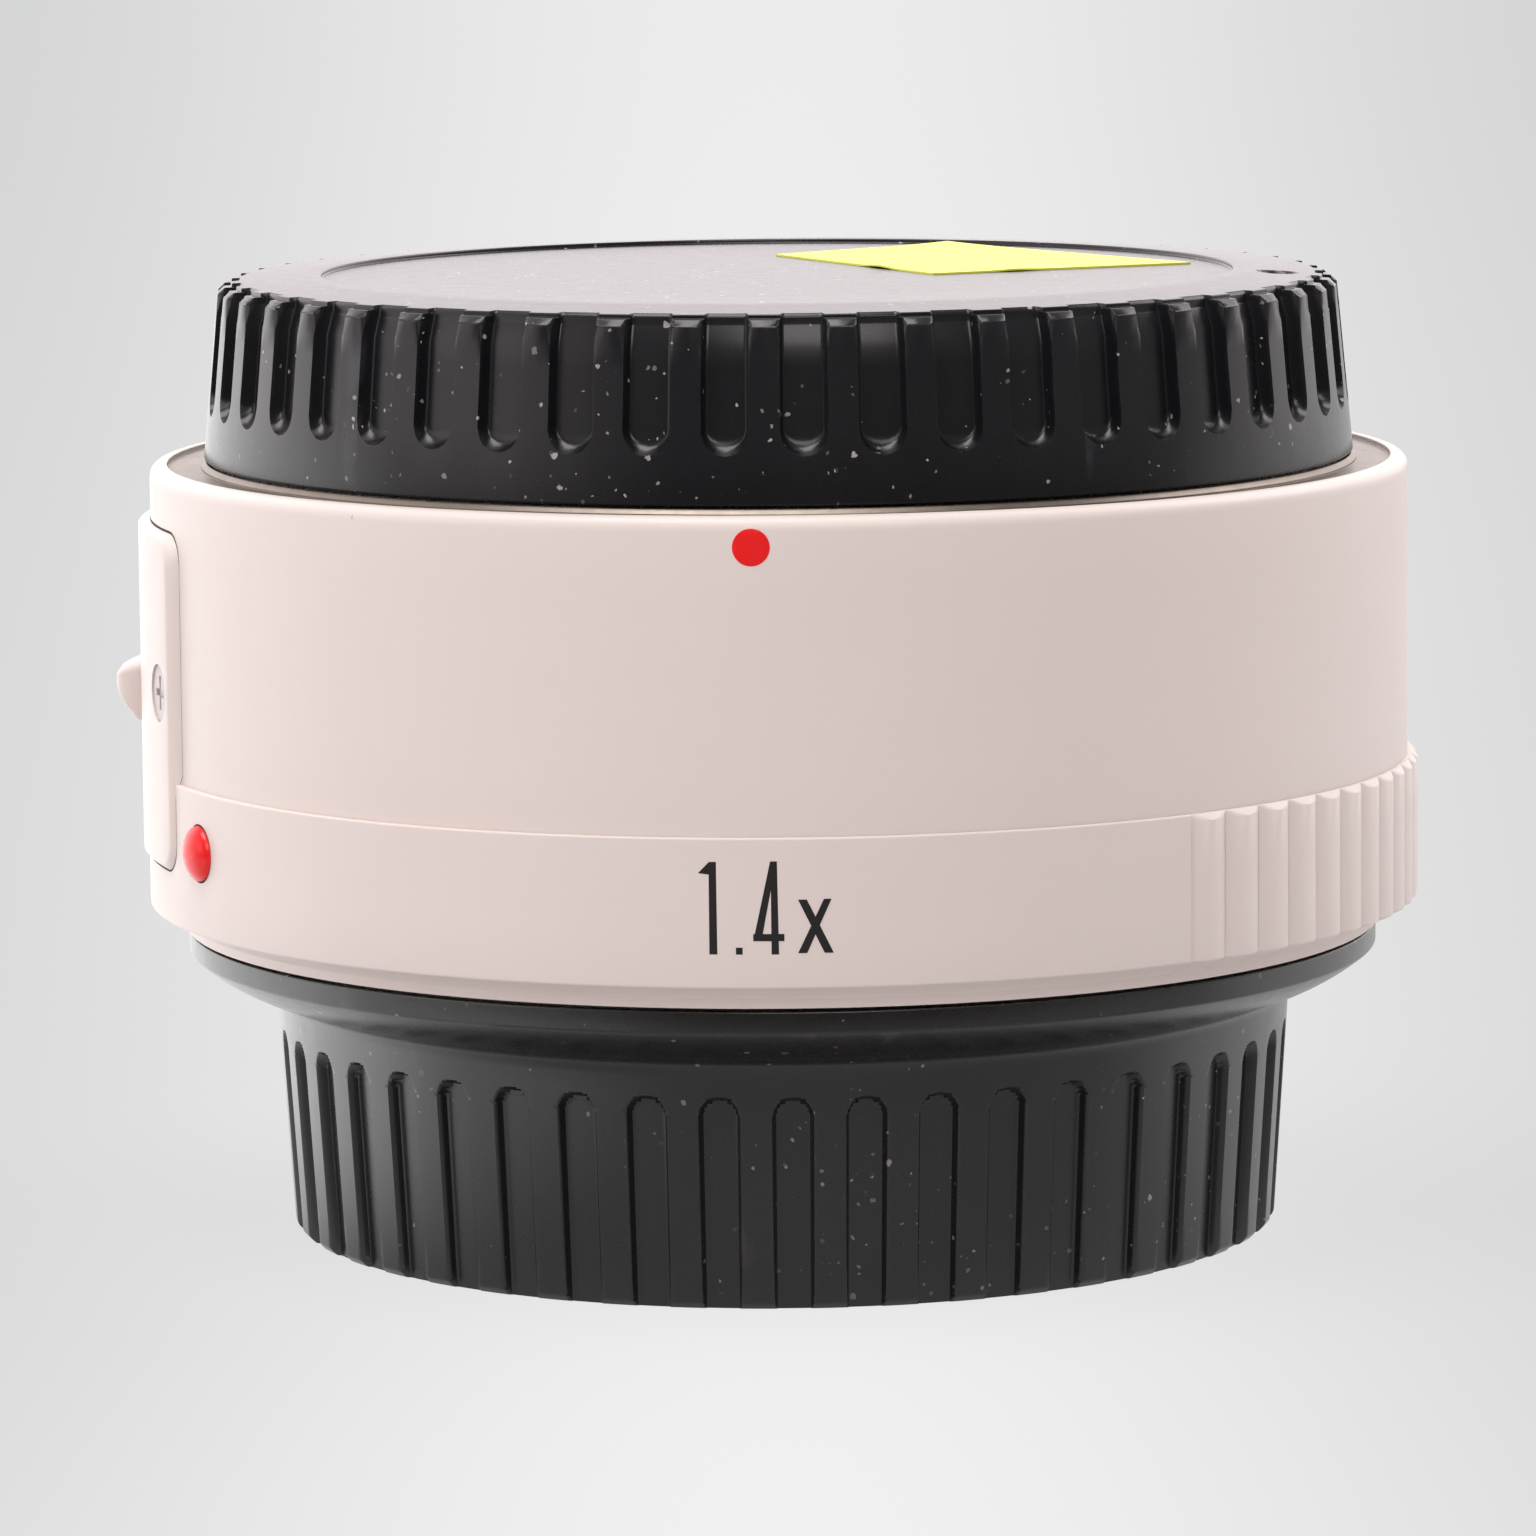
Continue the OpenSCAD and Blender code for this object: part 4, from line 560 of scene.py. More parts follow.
def front_cap():
    """Front cap: a turned section with a shallow disc, a rim that falls outwards, a tapered wall and an inner
    spigot with three lugs.

    A flute takes the wall back inside a long slot with a round lower end, which the rows of the grid follow.
    Its sides are steep, its end is a hollow quarter circle that runs out of the floor, and its upper edge is
    broken. The lands end in a facet a little below the rim. A dimple sinks the rim."""
    angles, s = comb(FLUTE_COUNT, FLUTE_FIRST, FLUTE_COLUMNS, CAP_FOOT_R)

    def wall(z):
        return CAP_FOOT_R + (CAP_TOP_R - CAP_FOOT_R) * (z - CAP_FOOT) / (LAND_TOP - CAP_BEVEL - CAP_FOOT)

    head = [(0, DISC_Z, 0, 9), (DISC_R, DISC_Z, 0.12, 0), (DISC_R, CAP_TOP, 0.12, 0),
            (DISC_R + RIM_FLAT, CAP_TOP, 0.6, 0.22), (DRUM_R, CAP_EDGE, 0.08, 0),
            (DRUM_R, LAND_TOP + 0.02, 0.04, 0), (wall(LAND_TOP) - CAP_BEVEL, LAND_TOP, 0.05, 0),
            (wall(LAND_TOP - CAP_BEVEL), LAND_TOP - CAP_BEVEL, 0.06, 1.2),
            (wall(FLUTE_PLAIN_Z), FLUTE_PLAIN_Z, 0, 0)]
    rows, tag = section(
        head + [(wall(FLUTE_LOW + k), FLUTE_LOW + k, 0, 0) for k in FLUTE_ROWS]
        + [(CAP_FOOT_R, CAP_FOOT, 0.14, 0), (SKIRT_R, CAP_FOOT, 0.1, 0), (SKIRT_R, SKIRT_STEP, 0, 0),
           (SKIRT_UP_R, SKIRT_STEP, 0, 0), (SKIRT_UP_R, CEILING, 0.3, 0), (CAP_SPIGOT_R, CEILING, 0.3, 0),
           (CAP_SPIGOT_R, CAP_LUG_TOP, 0, 0), (CAP_LUG_R, CAP_LUG_TOP, 0.15, 0),
           (CAP_LUG_R, CAP_LUG_LOW, 0.15, 0), (CAP_SPIGOT_R, CAP_LUG_LOW, 0, 0),
           (CAP_SPIGOT_R, CAP_SPIGOT_LOW, 0.2, 0), (CAP_SPIGOT_IN, CAP_SPIGOT_LOW, 0.2, 0),
           (CAP_SPIGOT_IN, CEILING, 0.3, 0), (0, CEILING, 0, 9)], arc_steps=6)
    bent = ((tag >= len(head)) & (tag < len(head) + len(FLUTE_ROWS)))[:, None]
    outside = (tag < len(head) + len(FLUTE_ROWS))[:, None]
    lift = FLUTE_HALF - np.sqrt(np.clip(FLUTE_HALF ** 2 - s ** 2, 0, None))
    z = rows[:, 1:] + bent * lift[None]
    r = np.where(bent, wall(z), rows[:, :1])
    down = np.clip(FLUTE_LOW + FLUTE_HALF - z, 0, None)
    reach = np.hypot(s[None], down)
    slope = 0.2 + 0.62 * (down / np.maximum(reach, 1e-6)) ** 2
    rise = 1 - np.clip((FLUTE_HALF - reach) / slope, 0, 1)
    depth = FLUTE_DEPTH * np.sqrt(1 - rise ** 2)
    top_edge = np.where(depth > 0.3, np.clip(z - CAP_EDGE + FLUTE_EDGE, 0, FLUTE_EDGE), 0)
    beside = 1 - ease(FLUTE_HALF, FLUTE_HALF + 0.24, np.abs(s))
    rounded = LAND_ROUND * beside[None] * ease(LAND_TOP - 0.9, LAND_TOP - 0.3, z)
    fluted = np.where(outside, np.minimum(r, wall(z) - depth - top_edge - rounded), r)
    lug = (r > CAP_SPIGOT_R + 0.05) & (r < SKIRT_UP_R - 0.5) & (z < CAP_LUG_TOP + 0.01)
    lug = lug & ~near(angles, CAP_LUG_ANGLES, CAP_LUG_SPAN / 2)[None]
    fluted = np.where(lug, CAP_SPIGOT_R, fluted)
    x, y = fluted * np.cos(angles), fluted * np.sin(angles)
    spot = math.radians(DIMPLE_ANGLE)
    off = np.hypot(x - DIMPLE_CIRCLE * math.cos(spot), y - DIMPLE_CIRCLE * math.sin(spot))
    hollow = DIMPLE_D * (1 - ease(DIMPLE_R - 0.22, DIMPLE_R + 0.02, off))
    sunk = z - np.where((z > DISC_Z + 0.02) & (r > DISC_R + 0.1), hollow, 0)
    return skin("front_cap_shell", turned(fluted, sunk, angles), FINISH["gloss_black"], "front_cap",
                ["front_cap"])


def rear_cap():
    """Rear cap: a turned cup with a hollow corner under a slightly bulging flange, and three inner lugs.

    A channel takes the wall back inside a long slot that is open below and round above, with steep sides."""
    angles, s = comb(CHANNEL_COUNT, CHANNEL_FIRST, (0.4, 0.7, 0.85, 0.93, 1.0, 1.07, 1.15, 1.4), BASE_R + 0.4)

    def wall(z):
        return BASE_R + (BASE_WALL_R - BASE_R) * z / BASE_WALL_TOP

    t = np.array([0.24, 0.34, 0.44, 0.54, 0.64, 0.74, 0.84, 0.93])
    a, b = np.array([BASE_WALL_R, BASE_WALL_TOP]), np.array([FLANGE_R, FLANGE_LOW])
    side = np.array([b[1] - a[1], a[0] - b[0]]) / np.linalg.norm(b - a)
    bow = a + t[:, None] * (b - a) + 4 * FLANGE_BULGE * (t * (1 - t))[:, None] * side
    rows, tag = section([
        (0, 0, 0, 12), (BASE_R - BASE_EDGE, 0, 0.1, 0), (BASE_R, BASE_EDGE, 0.16, 2.4),
        (wall(10.4), 10.4, 0, 0.08), (wall(12.0), 12.0, 0, 0), (BASE_WALL_R, BASE_WALL_TOP, 0.8, 0)]
        + [(p[0], p[1], 0, 0) for p in bow]
        + [(FLANGE_R, FLANGE_LOW, 0.12, 0), (FLANGE_R, FLANGE_TOP, 0.12, 0),
           (FLANGE_LIP_R, FLANGE_TOP, 0.12, 0), (FLANGE_LIP_R, FLANGE_FACE, 0.1, 0),
           (BASE_BORE, FLANGE_FACE, 0.15, 0), (BASE_BORE, BASE_LUG_TOP, 0, 0),
           (BASE_LUG_R, BASE_LUG_TOP, 0.15, 0), (BASE_LUG_R, BASE_LUG_LOW, 0.15, 0),
           (BASE_BORE, BASE_LUG_LOW, 0, 0), (BASE_BORE, BASE_FLOOR, 0.5, 0),
           (0, BASE_FLOOR, 0, 12)], arc_steps=5)
    r, z = rows[:, :1], rows[:, 1:]
    reach = np.hypot(s[None], np.clip(z - (CHANNEL_TOP - CHANNEL_HALF), 0, None)) - CHANNEL_HALF
    depth = CHANNEL_DEPTH * (1 - ease(-0.13, 0.1, reach))
    cut = np.where(tag[:, None] < 5, np.minimum(r, wall(z) - depth), r)
    lug = (r < BASE_BORE - 0.05) & (z > BASE_LUG_LOW - 0.01)
    cut = np.where(lug & ~near(angles, CAP_LUG_ANGLES, CAP_LUG_SPAN / 2)[None], BASE_BORE, cut)
    return skin("rear_cap_shell", turned(cut, np.broadcast_to(z, cut.shape), angles), FINISH["matte_black"],
                "rear_cap", ["rear_cap"])


def grip_ring():
    """Grip ring: a turned ring with a thin lip and a chamfer below. On the grip side its wall is a row of
    ribs, each falling from its crest by a power of the distance, and a chamfer cuts their upper ends. A notch
    in its register lets the catch arm slide."""
    half = math.radians(RIB_PITCH) / 2
    span = half * RIB_COUNT
    local = half * np.array([-0.97, -0.92, -0.8, -0.6, -0.3, 0, 0.3, 0.6, 0.8, 0.92, 0.97, 1.0])
    ribs = ((np.arange(RIB_COUNT) - (RIB_COUNT - 1) / 2)[:, None] * 2 * half + local).ravel()
    plain_arc = np.linspace(span, TURN - span, 260)[1:-1]
    angles = np.concatenate([[-span], ribs, [span + 1e-3], plain_arc, [TURN - span - 1e-3]])
    offset = (angles / (2 * half) + 0.5) % 1.0 * 2 - 1
    zone = np.abs(angles) <= span + 1e-6
    scallop = np.where(zone, RIB_CREST - RIB_DEPTH * np.abs(offset) ** RIB_POWER - GRIP_R, 0.0)
    rows, tag = section([
        (GRIP_BORE, GRIP_LOW, 0.1, 0), (LIP_R, GRIP_LOW, 0.1, 0), (LIP_R, LIP_TOP, 0.08, 0),
        (GRIP_R, GRIP_CHAMFER_TOP, 0.12, 2.6), (GRIP_R, SEAM - RIB_CHAMFER, 0, 0.1), (GRIP_R, SEAM, 0.09, 0),
        (REGISTER_R, SEAM, 0, 0), (REGISTER_R, REGISTER_TOP, 0.1, 0), (GRIP_BORE, REGISTER_TOP, 0.1, 0),
        (GRIP_BORE, LEDGE_TOP, 0, 0), (LEDGE_R, LEDGE_TOP, 0, 0), (LEDGE_R, LEDGE_LOW, 0, 0),
        (GRIP_BORE, LEDGE_LOW, 0, 0)], closed=True)
    r, z = rows[:, :1], rows[:, 1:]
    notch = near(angles, [CATCH_SIDE], REGISTER_NOTCH)[None]
    z = np.where(notch, np.minimum(z, REGISTER_NOTCH_LOW), z)
    weight = np.where(np.isin(tag, (3, 4, 5))[:, None], ease(GRIP_R - 0.6, GRIP_R - 0.1, r), 0)
    ribbed = r + weight * scallop[None]
    chamfer = RIB_CREST - np.clip(z - (SEAM - RIB_CHAMFER), 0, RIB_CHAMFER)
    ribbed = np.where(zone[None] & (r > LIP_R), np.minimum(ribbed, chamfer), ribbed)
    return skin("grip_ring_shell", turned(ribbed, np.broadcast_to(z, ribbed.shape), angles),
                FINISH["white_paint"], "body", ["grip_ring"], wrap_rows=True)


def upper_barrel():
    """Upper barrel: a turned shell with a rounded rim and a stepped top. A notch lifts its lower edge where
    the catch arm passes through it."""
    edge = math.radians(CATCH_SIDE)
    half = NOTCH_HALF / BARREL_R
    notch = np.array([edge - half - 4e-4, edge - half, edge - half / 2, edge, edge + half / 2, edge + half,
                      edge + half + 4e-4])
    angles = np.concatenate([notch, np.linspace(edge + half, edge - half + TURN, 420)[1:-1]])
    rows = section([
        (BARREL_BORE, SEAM, 0, 0), (BARREL_R, SEAM, 0.03, 4), (BARREL_R, RIM_TOP, RIM_ROUND, 0),
        (BARREL_R - RIM_WIDTH, RIM_TOP, 0.08, 0), (BARREL_R - RIM_WIDTH, RIM_FACE, 0.06, 0.6),
        (MOUNT_HOLE_R, RIM_FACE, 0.08, 0), (MOUNT_HOLE_R, CLAMP_TOP, 0, 0), (CLAMP_R, CLAMP_TOP, 0, 0),
        (CLAMP_R, CLAMP_LOW, 0, 0), (BARREL_BORE, CLAMP_LOW, 0, 0)], closed=True, arc_steps=6)[0]
    r, z = rows[:, :1], rows[:, 1:]
    low = (z < SEAM + 0.3) & np.isin(np.arange(len(angles)), range(1, 6))[None]
    lifted = np.where(low, z + NOTCH_TOP - SEAM, z)
    return skin("upper_barrel_shell", turned(np.broadcast_to(r, lifted.shape), lifted, angles),
                FINISH["white_paint"], "body", ["upper_barrel"], wrap_rows=True)


def cut_wells(obj, cutters):
    """Boolean difference of the cutters from a piece, applied to its mesh."""
    for c in cutters:
        m = obj.modifiers.new("well", "BOOLEAN")
        m.operation, m.object, m.solver = "DIFFERENCE", c, "EXACT"
    bpy.context.view_layer.update()
    done = bpy.data.meshes.new_from_object(obj.evaluated_get(bpy.context.evaluated_depsgraph_get()))
    obj.modifiers.clear()
    old, obj.data = obj.data, done
    done.name = old.name + "_cut"
    bpy.data.meshes.remove(old)
    for c in cutters:
        bpy.data.objects.remove(c)
    done.shade_smooth()
    done.set_sharp_from_angle(angle=math.radians(30))


def cover_point(loop, r):
    """Points of the catch cover: its outline is plain seen from the side, and r is the wall's radius."""
    y, z = loop[:, 0], loop[:, 1]
    r = np.broadcast_to(r, y.shape)
    return np.stack([-np.sqrt(r * r - y * y), -y, z], -1)


def lever_cover():
    """Catch cover: nested loops, from the outline in the wall over a rounded edge to the slot of the catch
    and down into it. Screw wells are cut out of it."""
    seat = BARREL_R - 0.05
    loops = []
    for t in np.linspace(0, np.pi / 2, 9):
        inset = COVER_SOFT * (1 - math.cos(t))
        loop = outline(COVER_HALF - inset, COVER_LOW + inset, COVER_TOP - inset, COVER_CORNER, 40)
        loops.append(cover_point(loop, seat + (COVER_R - seat) * math.sin(t)))
    slot_edge = outline(SLOT_HALF + 0.12, SLOT_LOW - 0.12, SLOT_TOP + 0.12, 0.7, 40)
    for t in np.linspace(0, 1, 8)[1:]:
        loops.append(cover_point(loop + t * (slot_edge - loop), COVER_R))
    slot = outline(SLOT_HALF, SLOT_LOW, SLOT_TOP, 0.6, 40)
    loops += [cover_point(slot, COVER_R - 0.12), cover_point(slot, seat)]
    cover = skin("lever_cover_shell", np.stack(loops), FINISH["white_paint"], "body",
                 ["lever_cover"], wrap_rows=True, crease=30)
    wells = []
    turn = np.linspace(0, TURN, 49)[:-1]
    for sign in (-1, 1):
        a = math.radians(CATCH_SIDE + sign * SCREW_ANGLE)
        out, along = np.array([math.cos(a), math.sin(a), 0]), np.array([-math.sin(a), math.cos(a), 0])
        ring = SCREW_WELL_R * (np.cos(turn)[:, None] * along + np.sin(turn)[:, None] * [0, 0, 1])
        spot = np.array([0, 0, SCREW_Z])
        low, high = COVER_R - SCREW_WELL_D, COVER_R + 1
        levels = [(low, 0), (low, 1), (high, 1), (high, 0)]
        grid = np.stack([spot + out * d + ring * k for d, k in levels])
        wells.append(skin("well_%d" % (sign > 0), grid, FINISH["white_paint"], "body"))
    cut_wells(cover, wells)
    return cover


def release_knob():
    """Catch knob: loops that shrink outwards from a foot to a nose above its middle. The shrinking follows a
    rounded triangle, slow at the foot and fast near the tip."""
    loops = []
    for f in (-1.0, 0.0, 0.12, 0.26, 0.42, 0.58, 0.72, 0.83, 0.91, 0.96, 0.99, 1.0):
        g = max(f, 0.0)
        lean = 0.7 * g + 0.3 * (1 - math.sqrt(1 - g ** 2))
        low = KNOB_MID - KNOB_HALF + lean * (KNOB_HALF + KNOB_NOSE - 0.4)
        high = KNOB_MID + KNOB_HALF - lean * (KNOB_HALF - KNOB_NOSE - 0.4)
        half = KNOB_WIDE - 0.9 * (1 - math.sqrt(1 - g ** 4))
        inset = 0.22 * (1 - math.sqrt(1 - g ** 8))
        loop = outline(half, low + inset, high - inset, 0.5 - 0.3 * lean)
        foot = np.sqrt(COVER_R ** 2 - loop[:, 0] ** 2) + 0.015
        r = foot if f < 0 else KNOB_FOOT + f * (KNOB_TIP - KNOB_FOOT)
        loops.append(np.stack([-np.broadcast_to(r, foot.shape), -loop[:, 0], loop[:, 1]], -1))
    nose = np.broadcast_to(loops[-1].mean(0), loops[-1].shape)
    foot = np.broadcast_to(loops[0].mean(0), loops[0].shape)
    return skin("release_knob_shell", np.stack([foot] + loops + [nose]), FINISH["white_paint"], "release",
                ["release_knob"], crease=50)


def strip(name, rings):
    """Thin dark line of painted shadow: a closed plate between rings of points that run round its section."""
    return skin(name, np.stack(rings), FINISH["gap_shadow"], "body", wrap_rows=True, crease=60)


def gap_shadows():
    """Shadow lines: above and below the catch cover, and above and below the red bead. Each is the room
    between a loop and the same loop made taller."""
    side = outline(COVER_HALF, COVER_LOW, COVER_TOP, COVER_CORNER, 60)
    tall = outline(COVER_HALF, COVER_LOW - GAP_LOW, COVER_TOP + GAP_TOP, COVER_CORNER, 60)
    # painted shadow line above and below the catch cover
    strip("cover_gap_shadow", [cover_point(k, np.where(k[:, 1] < SEAM, GRIP_R, BARREL_R) + 0.005 + h)
                        for k, h in ((side, 0), (tall, 0), (tall, GAP_T), (side, GAP_T))])
    a = np.linspace(0, TURN, 65)[:-1]
    ring = np.stack([BEAD_R * np.cos(a), BEAD_Z + BEAD_R * np.sin(a)], -1)
    wide = ring + np.stack([0 * a, BEAD_GAP * np.sin(a)], -1)
    # painted shadow line above and below the red bead
    strip("bead_gap_shadow", [wrapped(k[:, 0], k[:, 1], GRIP_R + 0.004 + h, BEAD_ANGLE)
                       for k, h in ((ring, 0), (wide, 0), (wide, GAP_T), (ring, GAP_T))])


def mount_edge():
    """Bare metal round the lens-side mount: a flat ring on the barrel's stepped top, with a step and a bevel
    at its inner edge."""
    low = RIM_FACE + 0.004
    rows = section([
        (EDGE_OUT, low, 0, 0), (EDGE_OUT, RIM_FACE + EDGE_T, 0.02, 0.7),
        (EDGE_FOOT, RIM_FACE + EDGE_T, 0.02, 0), (EDGE_FOOT, RIM_FACE + EDGE_STEP, 0.03, 0),
        (EDGE_IN, RIM_FACE + EDGE_TOP, 0.03, 0),
        (EDGE_BORE, RIM_FACE + EDGE_TOP, 0, 0), (EDGE_BORE, low, 0, 0)], closed=True)[0]
    return skin("mount_edge", turned(rows[:, 0], rows[:, 1], np.linspace(0, TURN, 361)[:-1]),
                FINISH["bare_edge"], "body", wrap_rows=True)


def rim_radius(z):
    """Radius of the barrel's outside at a height, its rounded rim included."""
    over = np.clip(z - (RIM_TOP - RIM_ROUND), 0, RIM_ROUND)
    return BARREL_R - RIM_ROUND * 0.36 * (over / RIM_ROUND) ** 2


def mark(name, angle, z_mid, profile, seat, node_name):
    """Round mark on a wall: profile (distance from its middle, height over the wall) turned about the radius,
    and bent round the wall."""
    turn = np.linspace(0, TURN, 65)[:-1]
    d, h = np.array(profile).T
    y, dz = d[:, None] * np.cos(turn), d[:, None] * np.sin(turn)
    wall = seat(z_mid + dz)
    a = math.radians(angle) + y / wall
    r = wall + h[:, None]
    grid = np.stack([r * np.cos(a), r * np.sin(a), z_mid + dz], -1)
    return skin(name, grid, FINISH["red_enamel"], "body", [node_name], crease=50)


def marks():
    """Flat red dot on the barrel's rim, and a domed red bead on the grip ring."""
    dot = [(0, 0.035), (0.5 * DOT_R, 0.035), (0.9 * DOT_R, 0.03), (DOT_R, 0.012),
           (DOT_R, -MARK_SEAT), (0, -MARK_SEAT)]
    mark("front_dot", DOT_ANGLE, DOT_Z, dot, rim_radius, "front_index_dot")
    t = np.linspace(0, np.pi / 2, 16)
    dome = list(zip(BEAD_R * np.sin(t), BEAD_DOME * np.cos(t)))
    mark("rear_bead", BEAD_ANGLE, BEAD_Z, dome + [(BEAD_R, -MARK_SEAT), (0, -MARK_SEAT)],
         lambda z: np.full_like(z, GRIP_R), "rear_index_bead")


def cap_label():
    """Blank label: a thin sheet on the disc between four corners, blended linearly both ways. Its far corner
    curls up by a power of both shares, and a low crease runs near its near corner."""
    a, b, c, d = (np.array(k) for k in LABEL_CORNERS)
    u, v = np.meshgrid(np.linspace(0, 1, 25), np.linspace(0, 1, 25), indexing="ij")
    flat = (a * (1 - u[..., None]) + b * u[..., None]) * (1 - v[..., None]) \
        + (d * (1 - u[..., None]) + c * u[..., None]) * v[..., None]
    crease = np.exp(-((u + (1 - v) - 0.34) / 0.07) ** 2) * (1 - ease(0.2, 0.5, u))
    curl = LABEL_CURL * u ** 6 * (1 - v) ** 6 + LABEL_CURL * crease
    top = np.concatenate([flat, (DISC_Z + LABEL_T + curl)[..., None]], -1)
    low = np.concatenate([flat, (DISC_Z + curl)[..., None]], -1)
    mid = (top + low) / 2
    shell = np.concatenate([top, low[:, ::-1]], 1)
    ends = np.concatenate([mid, mid[:, ::-1]], 1)[[0, -1]]
    return skin("label_sheet", np.concatenate([ends[:1], shell, ends[1:]]), FINISH["label_yellow"],
                "front_cap", ["cap_label"], crease=50)


def numerals():
    """The plain magnification number on the grip ring: straight strokes, each a thin four-cornered plate bent
    round the wall. Corners are in shares of the digits' height, the first two at one end of the stroke."""
    strokes = [((-0.609, 0), (-0.523, 0), (-0.53, 1), (-0.609, 1)),
               ((-0.725, 0.878), (-0.6, 0.862), (-0.57, 1), (-0.605, 1)),
               ((-0.324, 0), (-0.252, 0), (-0.252, 0.075), (-0.324, 0.075)),
               ((0.058, 0), (0.138, 0), (0.122, 1.005), (0.054, 1.005)),
               ((-0.137, 0.145), (-0.05, 0.145), (0.115, 1.005), (0.05, 1.005)),
               ((-0.137, 0.145), (-0.137, 0.222), (0.196, 0.222), (0.196, 0.145)),
               ((0.626, 0.013), (0.723, 0.013), (0.439, 0.59), (0.345, 0.59)),
               ((0.342, 0.013), (0.439, 0.013), (0.703, 0.595), (0.622, 0.595))]
    grids = []
    t = np.linspace(0, 1, 13)[:, None]
    for k, corners in enumerate(strokes):
        a, b, c, d = np.array(corners) * NUMERAL_H
        left, right = a + t * (d - a), b + t * (c - b)
        proud = NUMERAL_PROUD + 0.002 * k
        ring = [(left, -0.05), (left, proud), (right, proud), (right, -0.05)]
        body = np.stack([wrapped(p[:, 0], NUMERAL_LOW + p[:, 1], GRIP_R + h, NUMERAL_ANGLE)
                         for p, h in ring], 1)
        ends = [np.broadcast_to(body[i].mean(0), body[i].shape)[None] for i in (0, -1)]
        grids.append(np.concatenate([ends[0], body, ends[1]]))
    return skin("ring_numerals", grids, FINISH["numeral_black"], "body", crease=30)


def coil(radius, wire, low, top, turns, centre, sides=10, steps=28):
    """Coil spring: a round wire carried along a helix, closed at both ends."""
    t = np.linspace(0, 1, turns * steps + 1)[:, None]
    b = np.linspace(0, TURN, sides + 1)[:-1][None]
    a = TURN * turns * t
    r = radius + wire / 2 * np.cos(b)
    z = low + wire / 2 + (top - low - wire) * t + wire / 2 * np.sin(b)
    grid = np.stack([centre[0] + r * np.cos(a), centre[1] + r * np.sin(a), z], -1)
    ends = [np.broadcast_to(grid[i].mean(0), grid[i].shape)[None] for i in (0, -1)]
    return np.concatenate([ends[0], grid, ends[1]])


def springs():
    """Release spring round the lock pin and one spring under each contact pin."""
    release = skin("release_coil", coil(centre=(-PIN_CIRCLE, 0), **RELEASE_COIL), FINISH["spring_steel"],
                   "body", ["release_spring"])
    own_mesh(release)
    turn = np.radians(CONTACT_SIDE + (np.arange(CONTACT_COUNT) - (CONTACT_COUNT - 1) / 2) * CONTACT_PITCH)
    grids = [coil(centre=(CONTACT_CIRCLE * math.cos(a), CONTACT_CIRCLE * math.sin(a)), sides=6, steps=14,
                  **CONTACT_COIL) for a in turn]
    contacts = skin("contact_coils", grids, FINISH["spring_steel"], "body",
                    ["contact_springs"])
    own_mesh(contacts)


front_cap()
rear_cap()
grip_ring()
upper_barrel()
lever_cover()
release_knob()
marks()
cap_label()
numerals()
gap_shadows()
mount_edge()
springs()

for part in frame["record"]["subparts"]:
    solid = frame["nodes"].get(part["node"])
    if solid and not solid.hide_render:
        solid.data.materials.clear()
        solid.data.materials.append(FINISH.get(part["node"], FINISH[part["material_slot"]]))


# Stage

def floor():
    """Wide pale floor that runs out of the picture behind the object. Seen by the camera or in a reflection,
    it is part lit paper and part glow, so that it stays pale far behind the object. The glow is brightest in
    a soft band through the object, and the floor mirrors darker towards the front and brighter at the sides."""
    size = 6.0
    mesh = bpy.data.meshes.new("studio_floor")
    corners = [(-size, -size, 0), (size, -size, 0), (size, size, 0), (-size, size, 0)]
    mesh.from_pydata(corners, [], [(0, 1, 2, 3)])
    m, t, b = shader("studio_paper", Roughness=0.9, Specular_IOR_Level=0.1)
    v = place(t)
    ray = node(t, "ShaderNodeLightPath").outputs
    seen = node(t, "ShaderNodeMath", {0: ray["Is Camera Ray"], 1: ray["Is Glossy Ray"]}, operation="ADD")
    seen = node(t, "ShaderNodeMath", {0: seen.outputs[0], 1: ray["Is Transmission Ray"]}, operation="ADD",
                use_clamp=True).outputs[0]
    paper = blend_colour(t, FLOOR_BOUNCE, rgb(206, 206, 206), seen)
    way = node(t, "ShaderNodeSeparateXYZ", {0: v}).outputs
    behind = node(t, "ShaderNodeMath", {0: way[1]}, operation="MAXIMUM", in_1=0.0).outputs[0]
    width = add(t, multiply(t, behind, 0.1), 0.05)
    aside = node(t, "ShaderNodeMath", {0: way[0]}, operation="ABSOLUTE").outputs[0]
    across = node(t, "ShaderNodeMath", {0: aside, 1: width}, operation="DIVIDE").outputs[0]
    pale = blend_colour(t, rgb(213, 214, 214), rgb(240, 240, 240), ramp(t, across, 1.15, 0.0))
    ahead = node(t, "ShaderNodeMath", {0: ramp(t, way[1], 0.0, -0.035), 1: ramp(t, way[1], -0.08, -0.16)},
                 operation="ADD")
    mirrored = multiply(t, multiply(t, ray["Is Glossy Ray"], 0.5), ahead.outputs[0])
    t.links.new(blend_colour(t, paper, rgb(20, 20, 20), mirrored), b.inputs["Base Color"])
    left = multiply(t, ramp(t, way[0], -0.02, -0.06), MIRRORED_LEFT)
    right = multiply(t, ramp(t, way[0], 0.02, 0.09), MIRRORED_RIGHT)
    sides = node(t, "ShaderNodeMath", {0: left, 1: right}, operation="ADD").outputs[0]
    strength = add(t, multiply(t, sides, ray["Is Glossy Ray"]), 1.0)
    glow = node(t, "ShaderNodeEmission", {0: blend_colour(t, pale, rgb(20, 20, 20), mirrored), 1: strength})
    share = multiply(t, seen, FLOOR_GLOW)
    mix = node(t, "ShaderNodeMixShader", {0: share, 1: b.outputs[0], 2: glow.outputs[0]})
    t.links.new(mix.outputs[0], t.nodes["Material Output"].inputs[0])
    mesh.materials.append(m)
    obj = bpy.data.objects.new("studio_floor", mesh)
    bpy.context.scene.collection.objects.link(obj)


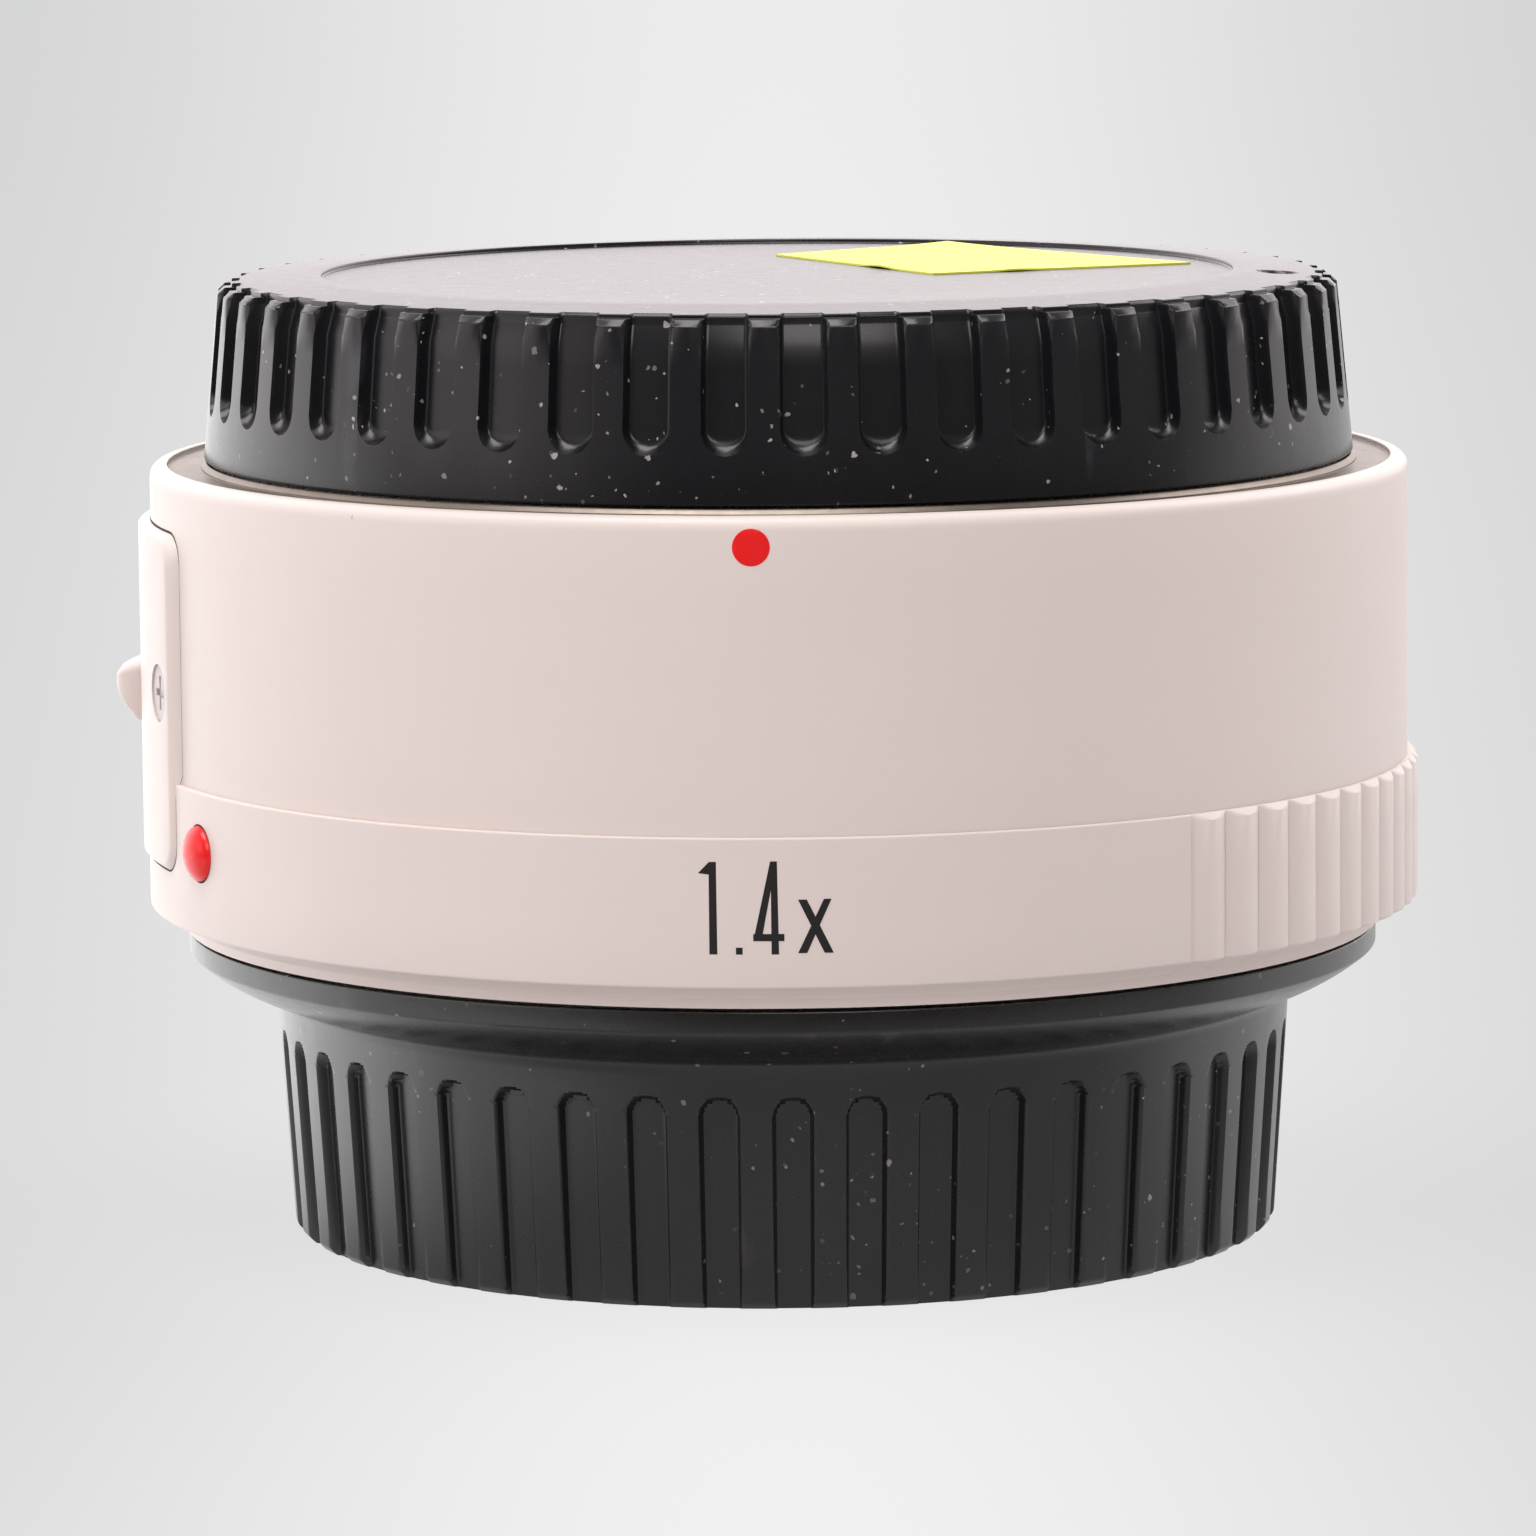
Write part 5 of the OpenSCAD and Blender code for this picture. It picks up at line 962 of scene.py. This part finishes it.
def softbox(name, spot, size, power, colour=(1, 0.95, 0.945), aim=(0, 0, 0.028)):
    """Square area lamp at a spot, in metres, turned to the object."""
    lamp = bpy.data.lights.new(name, "AREA")
    lamp.shape, lamp.size, lamp.energy, lamp.color = "SQUARE", size, power, colour
    obj = bpy.data.objects.new(name, lamp)
    bpy.context.scene.collection.objects.link(obj)
    obj.location = spot
    obj.rotation_euler = (Vector(aim) - Vector(spot)).to_track_quat("-Z", "Y").to_euler()


def surroundings():
    """White tent round the object: bright behind and on the left, weaker on the right, dim on the camera's
    side. Its strength is a sum of smooth steps of the direction's parts."""
    world = bpy.data.worlds.new("studio")
    bpy.context.scene.world = world
    world.use_nodes = True
    t = world.node_tree
    way = node(t, "ShaderNodeSeparateXYZ", {0: node(t, "ShaderNodeTexCoord").outputs["Generated"]}).outputs
    total = node(t, "ShaderNodeValue").outputs[0]
    total.default_value = TENT["all"]
    for axis, low, high, share in ((1, -0.1, 0.85, TENT["back"]), (0, -0.3, -0.95, TENT["left"]),
                                   (0, 0.3, 0.95, TENT["right"])):
        part = multiply(t, ramp(t, way[axis], low, high), share)
        total = node(t, "ShaderNodeMath", {0: total, 1: part}, operation="ADD").outputs[0]
    back = t.nodes["Background"]
    back.inputs[0].default_value = (1.0, 0.93, 0.945, 1)
    t.links.new(total, back.inputs[1])


def studio():
    """Soft surroundings, a lamp overhead, a weak one on the left, and others on the right and in front."""
    surroundings()
    softbox("lamp_top", (-0.12, -0.14, 0.78), 0.46, LAMP["top"])
    softbox("lamp_left", (-0.95, -0.45, 0.38), 0.6, LAMP["left"])
    softbox("lamp_right", (0.72, 0.3, 0.6), 0.5, LAMP["right"])
    softbox("lamp_front", (0.12, -0.8, 0.62), 0.5, LAMP["front"])
    bpy.context.scene.view_settings.view_transform = "Standard"


def camera():
    """Camera of the photograph: on the front side, a little above, rolled by half a degree."""
    distance, height, lift, roll = 0.450, 0.0283, math.radians(7.334), math.radians(0.507)
    ahead = Vector((0, math.cos(lift), -math.sin(lift)))
    right, up = Vector((1, 0, 0)), Vector((0, math.sin(lift), math.cos(lift)))
    x = right * math.cos(roll) - up * math.sin(roll)
    y = right * math.sin(roll) + up * math.cos(roll)
    place_at = Vector((0, 0, height)) - ahead * distance
    data = bpy.data.cameras.new("studio_camera")
    data.sensor_width, data.lens = 36.0, 183.98
    data.shift_x, data.shift_y = -0.00842, -0.02704
    data.clip_start, data.clip_end = 0.01, 20
    obj = bpy.data.objects.new("studio_camera", data)
    bpy.context.scene.collection.objects.link(obj)
    obj.matrix_world = Matrix(((x.x, y.x, -ahead.x, place_at.x), (x.y, y.y, -ahead.y, place_at.y),
                               (x.z, y.z, -ahead.z, place_at.z), (0, 0, 0, 1)))
    bpy.context.scene.camera = obj


floor()
studio()
camera()
